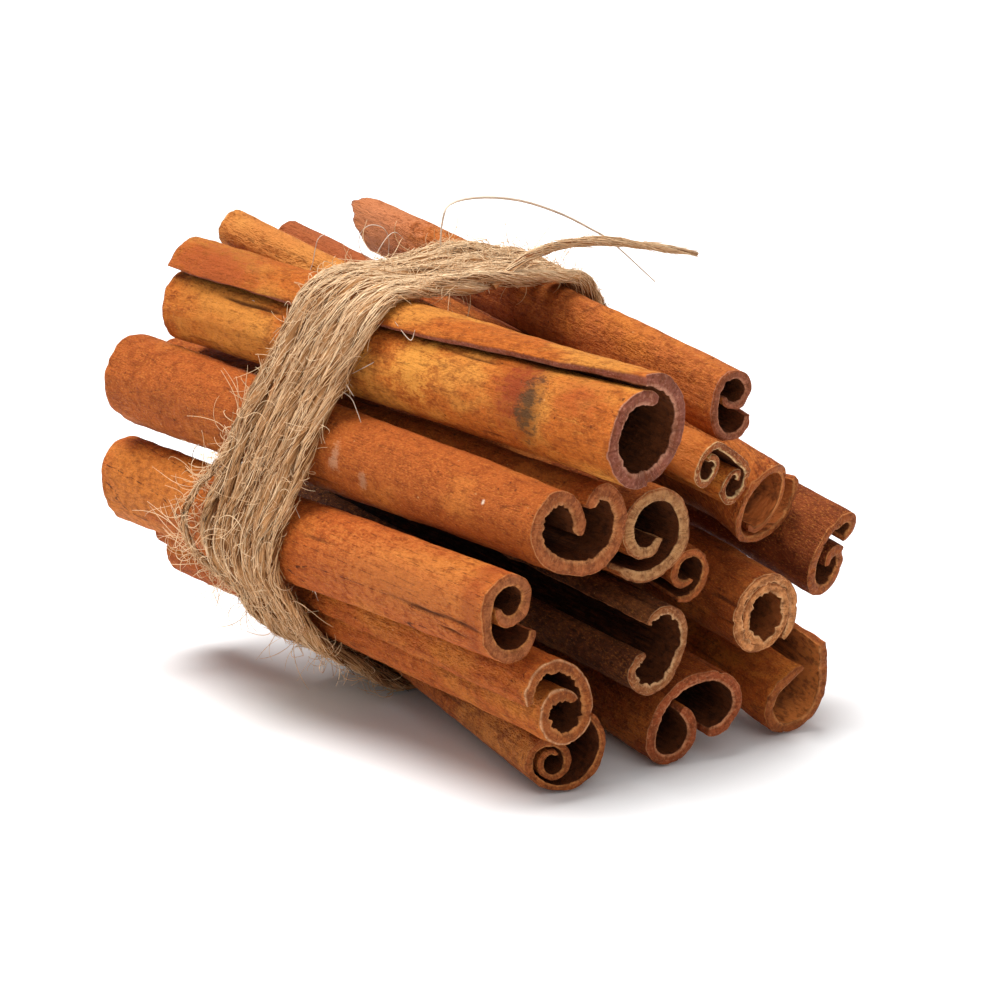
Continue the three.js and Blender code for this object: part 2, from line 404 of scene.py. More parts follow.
@dataclass(frozen=True)
class BarkFinish:
    """The looks of one quill's bark.

    Attributes:
        base: The outer side's main colour.
        patch: The colour of its wide patches.
        streak: The colour of its dark lengthwise streaks.
        streaks: How many streaks there are, from 0 to 1.
        patches: How much the patches cover, from 0 to 1.
        inner: The inner side's colour deep inside, its own dark bark darkened further with painted shade.
        lit_mouth: The inner side's colour at the near end, painted light where light reaches into the roll.
        wood: The cut wood's colour.
        rim: The cut wood's colour towards the inner side, also painted along its outermost edge as a
            highlight.
        skin: The cut wood's colour towards the outer side.
        flecks: How many pale flecks there are, from 0 to 1.
        stains: How many dark stains there are, from 0 to 1.
        threads: How dark the thin lengthwise cracks are, from 0 to 1.
        marks: Its spots and stains.
        seed: Which of all such barks this is.
    """

    base: Colour = srgb(184, 90, 33)
    patch: Colour = srgb(205, 118, 46)
    streak: Colour = srgb(116, 48, 15)
    streaks: float = 0.5
    patches: float = 0.5
    inner: Colour = srgb(56, 28, 13)
    lit_mouth: Colour = srgb(108, 56, 26)
    wood: Colour = srgb(156, 84, 40)
    rim: Colour = srgb(192, 122, 68)
    skin: Colour = srgb(142, 70, 32)
    flecks: float = 0.2
    stains: float = 0.3
    threads: float = 0.35
    marks: tuple[Mark, ...] = ()
    seed: float = 1.0

    def material(self, name: str) -> bpy.types.Material:
        """Build the bark.

        Args:
            name: The material's name.

        Returns:
            The material.
        """
        graph = Graph(name)
        sheet = graph.attribute("sheet", "Vector")
        along, layer = (graph.add("ShaderNodeSeparateXYZ", {}, {0: sheet}, part) for part in "YZ")
        flat = graph.stretch(sheet, (1, 1, 0))
        grain = graph.noise(flat, (30, 3.2, 1), self.seed, 5)
        fine = graph.noise(flat, (60, 22, 1), self.seed + 3, 3)
        mottle = graph.noise(flat, (11, 7, 1), self.seed + 11, 5)
        patch = graph.noise(flat, (1.4, 0.6, 1), self.seed + 23, 3)
        spots = graph.noise(flat, (17, 13, 1), self.seed + 37, 3)
        outer = self.outer_side(graph, flat, (grain, fine, mottle, patch, spots))
        # Painted shade: the outer side darkens to near black in the cracks' grooves.
        outer = graph.layered(outer, [(graph.attribute("groove_depth_and_shade").between(0.15, 0.8), 0.8, srgb(56, 22, 8))])
        # The inner side: painted shade keeps it dark deep inside, and painted light brightens it over the
        # last 8 mm towards the near end's mouth.
        inner = graph.layered(self.inner, (
            (grain.between(0.4, 0.7), 1, srgb(104, 54, 24)),
            (along.between(7.2, 8.0), 0.85, self.lit_mouth),
            (mottle.between(0.45, 0.7), 0.6, srgb(32, 16, 9)),
        ))
        colour = graph.mix(layer.between(-0.05, 0.05), inner, outer)
        colour = graph.mix(graph.attribute("cut"), colour, self.cut_face(graph, sheet, layer))
        height = grain * 0.5 + fine * 0.45 + mottle * 0.6 + spots * 0.5
        return graph.finish(colour, 0.55 + mottle * 0.3, height, 0.0008, 0.12)

    def outer_side(self, graph: Graph, flat: Wire, noises: tuple[Wire, ...]) -> Wire:
        """Colour the outer side of the bark.

        Args:
            graph: The material.
            flat: Places on the sheet.
            noises: The grain, the fine grain, the mottle, the patches and the spots.

        Returns:
            The colour.
        """
        grain, fine, mottle, patch, spots = noises
        edge = 0.62 - 0.3 * self.patches
        line = 0.62 - 0.16 * self.streaks
        stain = 0.72 - 0.14 * self.stains
        fleck = 0.21 + 0.06 * self.flecks
        blots = graph.noise(flat, (2.6, 1.7, 1), self.seed + 51, 5)
        ragged = (mottle - 0.5) * 2.6 + (fine - 0.5) * 1.6
        wander = graph.noise(flat, (1.1, 0.09, 1), self.seed + 91, 0) + grain * 0.012
        thread = wander.maths("PINGPONG", 0.035).between(0.0022, 0.0004)
        return graph.layered(self.base, (
            (patch.between(edge, edge + 0.16), 1, self.patch),
            (mottle.between(0.44, 0.66), 0.45, self.streak),
            (grain.between(line, line + 0.14), 0.45, self.streak),
            (grain.between(0.44, 0.3), 0.5, self.patch),
            (fine.between(0.5, 0.66), 0.35, self.streak),
            (fine.between(0.46, 0.34), 0.3, srgb(224, 146, 66)),
            (blots.between(stain, stain + 0.1), 0.65, srgb(104, 40, 13)),
            (spots.between(0.66, 0.74), 0.7, srgb(62, 26, 10)),
            (spots.between(fleck + 0.06, fleck), 0.6, srgb(214, 164, 108)),
            *((mark.inside(graph, flat, ragged), mark.strength, mark.colour) for mark in self.marks),
            (thread * mottle.between(0.42, 0.56), self.threads, srgb(66, 28, 10)),
        ))

    def cut_face(self, graph: Graph, sheet: Wire, layer: Wire) -> Wire:
        """Colour the wood that shows where the bark is cut.

        Args:
            graph: The material.
            sheet: Places in the sheet.
            layer: Places through it.

        Returns:
            The colour.
        """
        # Painted highlight: the last stop lays the inner rim's pale colour along the cut face's outermost
        # edge.
        stops = (
            (0, self.rim), (0.1, self.rim), (0.28, self.wood),
            (0.75, self.wood), (0.94, self.skin), (1, self.rim),
        )
        wood = graph.add("ShaderNodeValToRGB", {"stops": stops}, {0: layer * 0.5 + 0.5})
        place = graph.stretch(sheet, (1, 1, 0.08))
        crumbs = graph.noise(place, (24, 24, 30), self.seed + 71, 4)
        blotch = graph.noise(place, (7, 7, 9), self.seed + 77, 3)
        return graph.layered(wood, (
            (blotch.between(0.42, 0.62), 0.6, srgb(112, 56, 26)),
            (crumbs.between(0.52, 0.7), 0.6, srgb(84, 42, 20)),
            (crumbs.between(0.46, 0.34), 0.45, self.rim),
        ))


@dataclass(frozen=True)
class JuteFinish:
    """The looks of jute.

    Attributes:
        pale: The colour of its palest fibres, also laid on the top fibres as painted light.
        warm: The colour of its other fibres.
        deep: The painted shade between its fibres.
    """

    pale: Colour = srgb(248, 218, 178)
    warm: Colour = srgb(198, 146, 96)
    deep: Colour = srgb(106, 64, 34)

    def material(self, name: str) -> bpy.types.Material:
        """Build the jute.

        Args:
            name: The material's name.

        Returns:
            The material.
        """
        graph = Graph(name)
        lay, tone = graph.attribute("lay", "Vector"), graph.attribute("tone")
        fibre = graph.noise(lay, (40, 1.6, 1), 3.0, 4)
        patch = graph.noise(lay, (1.5, 0.8, 1), 9.0, 3)
        # Painted shade: the deep colour darkens the lines between fibres and everything whose tone is below
        # 0. The pale colour comes in with the tone, which on the top fibres is painted light.
        colour = graph.layered(self.warm, (
            (tone, 1, self.pale),
            (patch.between(0.4, 0.7), 0.35, self.warm),
            (fibre.between(0.52, 0.74), 0.4, self.deep),
            (tone.between(0.0, -0.5), 1, self.deep),
        ))
        return graph.finish(colour, 0.9, fibre, 0.0002, 0.1)


@dataclass(frozen=True)
class FloorFinish:
    """The looks of the plain pale floor.

    Attributes:
        paint: Its colour.
        dust: The colour of its faint clouds.
    """

    paint: Colour = (0.9, 0.9, 0.9)
    dust: Colour = (0.8, 0.8, 0.8)

    def material(self, name: str) -> bpy.types.Material:
        """Build the floor's paint.

        Args:
            name: The material's name.

        Returns:
            The material.
        """
        graph = Graph(name)
        place = graph.add("ShaderNodeTexCoord", {}, output="Object")
        cloud = graph.noise(place, (3, 3, 3), 1.0, 2)
        colour = graph.layered(self.paint, [(cloud, 0.03, self.dust)])
        return graph.finish(colour, 0.8, cloud, 0.00001, 0.1)


def clear_selection() -> None:
    """Leave nothing selected, in object mode."""
    if bpy.context.object and bpy.context.object.mode != "OBJECT":
        bpy.ops.object.mode_set(mode="OBJECT")
    bpy.ops.object.select_all(action="DESELECT")


def corners(piece: bpy.types.Object) -> np.ndarray:
    """Read where a mesh's corners are.

    Args:
        piece: The piece.

    Returns:
        One row of X, Y and Z for each corner.
    """
    places = np.empty(len(piece.data.vertices) * 3)
    piece.data.vertices.foreach_get("co", places)
    return places.reshape(-1, 3)


def set_corners(piece: bpy.types.Object, places: np.ndarray) -> None:
    """Move a mesh's corners.

    Args:
        piece: The piece.
        places: One row for each corner, in millimetres of the quills' list.
    """
    packed = (places + SHIFT) * MM
    piece.data.vertices.foreach_set("co", packed.ravel())
    piece.data.update()


def keep(piece: bpy.types.Object, name: str, values: np.ndarray) -> None:
    """Store a number or a vector on each corner of a mesh.

    Args:
        piece: The piece.
        name: The attribute's name.
        values: One number, or one row of three, for each corner.
    """
    is_row = values.ndim == 2
    kind = "FLOAT_VECTOR" if is_row else "FLOAT"
    attribute = piece.data.attributes.new(name, kind, "POINT")
    attribute.data.foreach_set("vector" if is_row else "value", values.ravel())


def sheet_blank(name: str, columns: int, rows: int, layers: int) -> bpy.types.Object:
    """Lay out a flat sheet, 1 by 1, and thicken it upwards layer by layer to 1 as well.

    Args:
        name: The piece's name.
        columns: How many faces it has across.
        rows: How many faces it has along.
        layers: How many faces its rim is high, or 0 for a sheet with no thickness.

    Returns:
        The piece.
    """
    clear_selection()
    bpy.ops.mesh.primitive_grid_add(
        x_subdivisions=columns, y_subdivisions=rows, size=1, location=(0.5, 0.5, 0)
    )
    piece = bpy.context.object
    piece.name = name
    bpy.ops.object.transform_apply(location=True)
    bpy.ops.object.mode_set(mode="EDIT")
    bpy.ops.mesh.select_all(action="SELECT")
    for _ in range(layers):
        lift = {"value": (0, 0, 1 / layers)}
        bpy.ops.mesh.extrude_region_move(TRANSFORM_OT_translate=lift)
    if layers:
        bpy.ops.mesh.select_all(action="SELECT")
        bpy.ops.mesh.normals_make_consistent(inside=False)
    bpy.ops.object.mode_set(mode="OBJECT")
    return piece


def dress(piece: bpy.types.Object, material: bpy.types.Material) -> None:
    """Give a piece its material and let it ride.

    Args:
        piece: The piece.
        material: The material.
    """
    piece.data.materials.clear()
    piece.data.materials.append(material)
    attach(piece, "root")
    LOG.info("%s: %d faces", piece.name, len(piece.data.polygons))


@dataclass(frozen=True)
class Spots:
    """Places in a flat sheet of bark.

    Attributes:
        across: How far each one is from the sheet's inner edge.
        along: How far it is from the far end.
        layer: Where it is through the sheet, -1 inside and 1 outside.
        width: The sheet's width.
    """

    across: np.ndarray
    along: np.ndarray
    layer: np.ndarray
    width: float


@dataclass(frozen=True)
class Bumps:
    """One kind of unevenness in bark.

    Attributes:
        height: How high its bumps are.
        across: How long they are across the sheet.
        along: How long they are along it.
        octaves: How many layers they have, each half the size of the last.
        shift: Where in the noise they are read.
    """

    height: float
    across: float
    along: float
    octaves: int = 3
    shift: float = 0.0

    def over(self, noise: Relief, spots: Spots) -> np.ndarray:
        """Read the bumps.

        Args:
            noise: The noise that they are read from.
            spots: The places in the sheet.

        Returns:
            Their height at each place.
        """
        x = spots.across / self.across + self.shift
        return self.height * noise.rough(x, spots.along / self.along, self.octaves)


SWELLS = Bumps(0.16, 3.5, 13, shift=9)
RIDGES = Bumps(0.12, 1.0, 11, 2)
PITS = Bumps(0.11, 1.5, 2.0)
HOLLOWS = Bumps(0.06, 0.8, 7, 2, 40)
TEARS = Bumps(1.0, 1.3, 4, shift=60)


@dataclass(frozen=True)
class Quill:
    """One sheet of bark, rolled up from one edge or from both.

    Attributes:
        node: The solid that it stands for.
        wall: The bark's thickness.
        heading: The way the sheet sets off from its inner edge, in degrees from the right.
        roll: The arcs that the sheet follows at the near end, each a radius and degrees.
        near: Y and Z of the near end's middle.
        far: Y and Z of the far end's middle.
        ahead: X of the near end.
        far_roll: The same arcs at the far end.
        flare: Above 1, the sheet keeps its far roll for most of its length.
        far_size: The far end's size against the near end's.
        tongue: How far a torn far end runs out, where round the sheet, and how wide.
        cracks: How many lengthwise cracks the outer side has.
        tear: How ragged the inner side is at the near end, in millimetres.
        finish: The looks of its bark.
    """

    node: str
    wall: float
    heading: float
    roll: tuple[Arc, ...]
    near: tuple[float, float]
    far: tuple[float, float]
    ahead: float
    far_roll: tuple[Arc, ...] | None = None
    flare: float = 1.0
    far_size: float = 0.96
    tongue: tuple[float, float, float] | None = None
    cracks: int = 6
    tear: float = 0.12
    finish: BarkFinish = BarkFinish()

    COLUMN = 0.26  # how wide one face of the sheet is
    ROWS = 104
    LAYERS = 4
    CROWDING = 0.72  # how much the rows crowd at both ends
    CRACK_DEPTH = 0.35
    CRACK_WIDTH = 0.24
    EDGE_REACH = 1.2  # how far in a long edge's unevenness reaches
    SAW_REACH = 1.1  # how far in a cut end's unevenness reaches
    TONGUE_REACH = 2.2

    @property
    def number(self) -> int:
        """The quill's place in the list, from 0."""
        return int(self.node[-2:]) - 1

    def arcs(self, t: np.ndarray) -> tuple[np.ndarray, np.ndarray]:
        """Work out the arcs at places along the quill.

        Args:
            t: The places, 0 at the far end and 1 at the near end.

        Returns:
            The radius and the turn in radians of each arc, one row for each arc.
        """
        opened = np.clip(t, 0, None) ** self.flare
        near = np.array(self.roll)[:, :, None]
        far = np.array(self.far_roll or self.roll)[:, :, None]
        radius, degrees = np.moveaxis(far + (near - far) * opened, 1, 0)
        return radius, np.radians(degrees)

    @property
    def outward(self) -> int:
        """1 where the outer side is to the left of the sheet's way, and -1 on its right."""
        return -1 if self.roll[0][1] > 0 else 1

    def middle(self, arc: np.ndarray, part: np.ndarray, t: np.ndarray) -> tuple[np.ndarray, np.ndarray]:
        """Walk the sheet's middle line.

        Args:
            arc: Which arc each point is on.
            part: How far along that arc it is, from 0 to 1.
            t: Where along the quill it is.

        Returns:
            The points, and the line's normals there.
        """
        radius, turn = self.arcs(t)
        count = len(self.roll)
        angle = np.radians(self.heading) + np.vstack([np.zeros_like(t), np.cumsum(turn, axis=0)])
        normal = np.stack([-np.sin(angle), np.cos(angle)], axis=-1)
        reach = -self.outward * radius[..., None]
        steps = reach * (normal[:-1] - normal[1:])
        start = np.concatenate([np.zeros((1, len(t), 2)), np.cumsum(steps, axis=0)])
        pick = np.arange(len(t))
        arc = np.clip(arc, 0, count - 1)
        here = angle[arc, pick] + part * turn[arc, pick]
        facing = np.stack([-np.sin(here), np.cos(here)], axis=-1)
        points = start[arc, pick] + reach[arc, pick] * (normal[arc, pick] - facing)
        return points, facing

    def steps(self) -> list[int]:
        """How many steps each arc is walked in."""
        pairs = zip(self.roll, self.far_roll or self.roll)
        return [max(1, round(max(abs(one[1]), abs(other[1])) / ARC_STEP)) for one, other in pairs]

    def outline(self, t: float) -> np.ndarray:
        """Work out the closed outline of the quill's section.

        Args:
            t: Where along the quill it is.

        Returns:
            The outline's corners, before it is centred and scaled.
        """
        walk = [(0, 0.0)] + [(arc, (i + 1) / n) for arc, n in enumerate(self.steps()) for i in range(n)]
        arc = np.array([one for one, _ in walk])
        part = np.array([other for _, other in walk])
        line, normal = self.middle(arc, part, np.full(len(walk), float(t)))
        side = normal * self.wall / 2
        return np.vstack([line - side, (line + side)[::-1]])

    def size(self, t: Any) -> Any:
        """The section's size against its size at the near end."""
        return self.far_size + (1 - self.far_size) * t

    def centred(self, t: float) -> np.ndarray:
        """The outline's corners about the quill's axis, in their final size."""
        outline = self.outline(t)
        return (outline - (outline.min(axis=0) + outline.max(axis=0)) / 2) * self.size(t)

    def pose(self) -> tuple[np.ndarray, np.ndarray, np.ndarray, np.ndarray]:
        """Work out where the quill lies.

        Returns:
            The middle of its far end, and its axis, right and up.
        """
        across = math.dist(self.near, self.far)
        run = math.sqrt(QUILL_LENGTH**2 - across**2)
        start = np.array([self.ahead - run, *self.far])
        axis = np.array([self.ahead, *self.near]) - start
        axis /= np.linalg.norm(axis)
        right = np.array([-axis[1], axis[0], 0.0])
        right /= np.linalg.norm(right)
        return start, axis, right, np.cross(axis, right)

    def width(self) -> np.ndarray:
        """The length of each arc, halfway along the quill."""
        radius, turn = self.arcs(np.array([0.5]))
        return np.abs(radius * turn)[:, 0]

    def build(self) -> bpy.types.Object:
        """Make the quill: a flat sheet of bark with its relief, rolled up.

        Returns:
            The piece.
        """
        arcs = self.width()
        width = arcs.sum()
        piece = sheet_blank(f"bark_{self.node}", round(width / self.COLUMN), self.ROWS, self.LAYERS)
        flat = corners(piece)
        t = flat[:, 1] - self.CROWDING * np.sin(2 * np.pi * flat[:, 1]) / (2 * np.pi)
        spots = Spots(flat[:, 0] * width, t * QUILL_LENGTH, flat[:, 2] * 2 - 1, width)
        is_end = (flat[:, 1] < 1e-5) | (flat[:, 1] > 1 - 1e-5)
        lift, groove_depth_and_shade = self.relief(spots)
        edge = self.free_edge(spots)
        bounds = np.concatenate([[0], np.cumsum(arcs)])
        place = np.clip(edge, 0, width)
        arc = np.clip(np.searchsorted(bounds, place, side="right") - 1, 0, len(arcs) - 1)
        part = (place - bounds[arc]) / arcs[arc]
        line, normal = self.middle(arc, part, t)
        tangent = np.stack([normal[:, 1], -normal[:, 0]], axis=-1)
        line = line + tangent * (edge - place)[:, None] + normal * self.outward * lift[:, None]
        points = self.place(line, t, spots.along + self.saw(spots, arc, part))
        set_corners(piece, points)
        if self.outward > 0:
            piece.data.flip_normals()
        keep(piece, "sheet", np.stack([spots.across / 10, spots.along / 10, spots.layer], axis=-1))
        keep(piece, "groove_depth_and_shade", groove_depth_and_shade)
        keep(piece, "cut", ((np.abs(spots.layer) < 0.99) | is_end).astype(float))
        clear_selection()
        piece.select_set(True)
        bpy.context.view_layer.objects.active = piece
        bpy.ops.object.shade_smooth_by_angle(angle=math.radians(50))
        return piece

    def relief(self, spots: Spots) -> tuple[np.ndarray, np.ndarray]:
        """Work out how far each corner stands off the sheet's middle.

        Args:
            spots: The corners' places in the flat sheet.

        Returns:
            The distance, and how deep in a crack each corner is, from 0 to 1, which the bark paints as shade.
        """
        waves, ridges, pits = (Relief(100 * self.number + step) for step in (1, 2, 3))
        near_edge = np.minimum(spots.across, spots.width - spots.across)
        thin = 1 - 0.35 * np.exp(-near_edge / 0.8)
        half = self.wall / 2 * thin * (1 + 0.07 * waves.at(spots.across / 5, spots.along / 16))
        bumps = SWELLS.over(waves, spots) + RIDGES.over(ridges, spots) + PITS.over(pits, spots)
        groove_depth_and_shade = self.cracked(spots)
        to_near = np.clip(QUILL_LENGTH - spots.along, 0, None)
        torn = self.tear * np.abs(TEARS.over(pits, spots)) * np.exp(-to_near / 3)
        outer, inner = np.clip(spots.layer, 0, 1), np.clip(-spots.layer, 0, 1)
        lift = spots.layer * half + outer * (bumps - self.CRACK_DEPTH * groove_depth_and_shade)
        lift -= inner * (HOLLOWS.over(ridges, spots) + torn)
        return lift, np.clip(groove_depth_and_shade - bumps * 1.5, 0, 1) * (spots.layer > 0.5)

    def cracked(self, spots: Spots) -> np.ndarray:
        """Work out how deep the lengthwise cracks are at places of the outer side.

        Args:
            spots: The places in the flat sheet.

        Returns:
            0 outside the cracks, and up to 1 inside them.
        """
        draw = np.random.default_rng(900 + self.number)
        wander = Relief(950 + self.number)
        deepest = np.zeros_like(spots.across)
        for crack in range(self.cracks):
            middle, length = draw.uniform(0, spots.width), draw.uniform(5, 26)
            begins = draw.uniform(0, QUILL_LENGTH - length / 2)
            depth = draw.uniform(0.35, 1.0)
            line = middle + 0.9 * wander.rough(np.full_like(spots.along, crack * 3.7), spots.along / 14)
            beyond = np.clip(np.abs(spots.along - begins - length / 2) / (length / 2), 0, 1)
            cut = depth * np.exp(-(((spots.across - line) / self.CRACK_WIDTH) ** 2)) * (1 - beyond**2)
            deepest = np.maximum(deepest, cut)
        return deepest

    def free_edge(self, spots: Spots) -> np.ndarray:
        """Make the sheet's two long edges uneven.

        Args:
            spots: The corners' places in the flat sheet.

        Returns:
            The new places across the sheet.
        """
        rough = Relief(300 + self.number)
        first, last = (
            0.28 * rough.rough(spots.along / 4 + shift, spots.layer * 0.4) - 0.12 * np.abs(spots.layer) - 0.05
            for shift in (0, 50)
        )
        to_first, to_last = spots.across, spots.width - spots.across
        moved = spots.across - first * np.exp(-to_first / self.EDGE_REACH)
        return moved + last * np.exp(-to_last / self.EDGE_REACH)

    def saw(self, spots: Spots, arc: np.ndarray, part: np.ndarray) -> np.ndarray:
        """Make the two cut ends uneven.

        Args:
            spots: The corners' places in the flat sheet.
            arc: Which arc each corner is on.
            part: How far along that arc it is.

        Returns:
            How far each corner moves towards the near end.
        """
        rough, chips = Relief(400 + self.number), Relief(450 + self.number)
        across, layer = spots.across, spots.layer
        move = np.zeros_like(across)
        for end, sign, shift in ((QUILL_LENGTH, 1, 0), (0, -1, 70)):
            near = np.exp(-((np.abs(spots.along - end) / self.SAW_REACH) ** 2))
            wave = 0.3 * rough.rough(across / 3.2 + shift, layer * 0.25)
            chip = 0.5 * np.clip(chips.rough(across / 0.9 + shift, layer * 0.9, 2) - 0.2, 0, 1)
            rounded = 0.16 * np.abs(layer) ** 3
            crumb = 0.07 * chips.rough(across / 0.45 + shift, layer * 2.5, 2)
            move += sign * near * (wave - chip - rounded + crumb * (np.abs(layer) < 0.99))
        if self.tongue:
            reach, at, wide = self.tongue
            steps = np.array(self.steps())
            first = np.concatenate([[0], np.cumsum(steps)[:-1]])
            order = (first[arc] + part * steps[arc]) / steps.sum()
            spike = reach * np.exp(-(((order - at) / wide) ** 2))
            ragged = 1 + 0.35 * chips.rough(across / 0.8, layer * 0.5)
            move -= spike * ragged * np.exp(-spots.along / self.TONGUE_REACH)
        return move

    def place(self, section: np.ndarray, t: np.ndarray, along: np.ndarray) -> np.ndarray:
        """Take points of the rolled sheet to where the quill lies.

        Args:
            section: The points across the quill.
            t: Where along the quill each one's section is.
            along: How far each one is from the far end.

        Returns:
            The points in the quills' list's frame.
        """
        stops = np.linspace(0, 1, 33)
        outlines = [self.outline(stop) for stop in stops]
        middles = np.array([(one.min(axis=0) + one.max(axis=0)) / 2 for one in outlines])
        middle = np.stack([np.interp(t, stops, middles[:, i]) for i in (0, 1)], axis=-1)
        flat = (section - middle) * self.size(t)[:, None]
        slant, bow = (
            np.array([math.cos(turn), math.sin(turn)])
            for turn in (self.number * SAW_TURN, self.number * BOW_TURN)
        )
        lean = SAW_SLANT * (flat @ slant) * (2 * t - 1)
        flat = flat + np.outer(BOW * np.sin(np.pi * t), bow)
        start, axis, right, up = self.pose()
        return start + flat @ np.stack([right, up]) + np.outer(along + lean, axis)


PLAIN = BarkFinish()
YELLOW = replace(PLAIN, base=srgb(194, 102, 35), patch=srgb(214, 138, 58), patches=0.6)
# Deeper red-brown bark for quills that lie shaded among the others: partly their own colour, partly painted
# shade.
DEEP_AND_SHADED = replace(PLAIN, base=srgb(160, 76, 28), patch=srgb(186, 102, 42), streak=srgb(88, 34, 11), streaks=0.7)
# Dark bark for the quill that lies mostly in shade: partly its own dark brown, partly painted shade.
DARK_AND_SHADED = replace(DEEP_AND_SHADED, base=srgb(104, 56, 30), patch=srgb(134, 80, 44), streak=srgb(34, 18, 10), flecks=0.5)

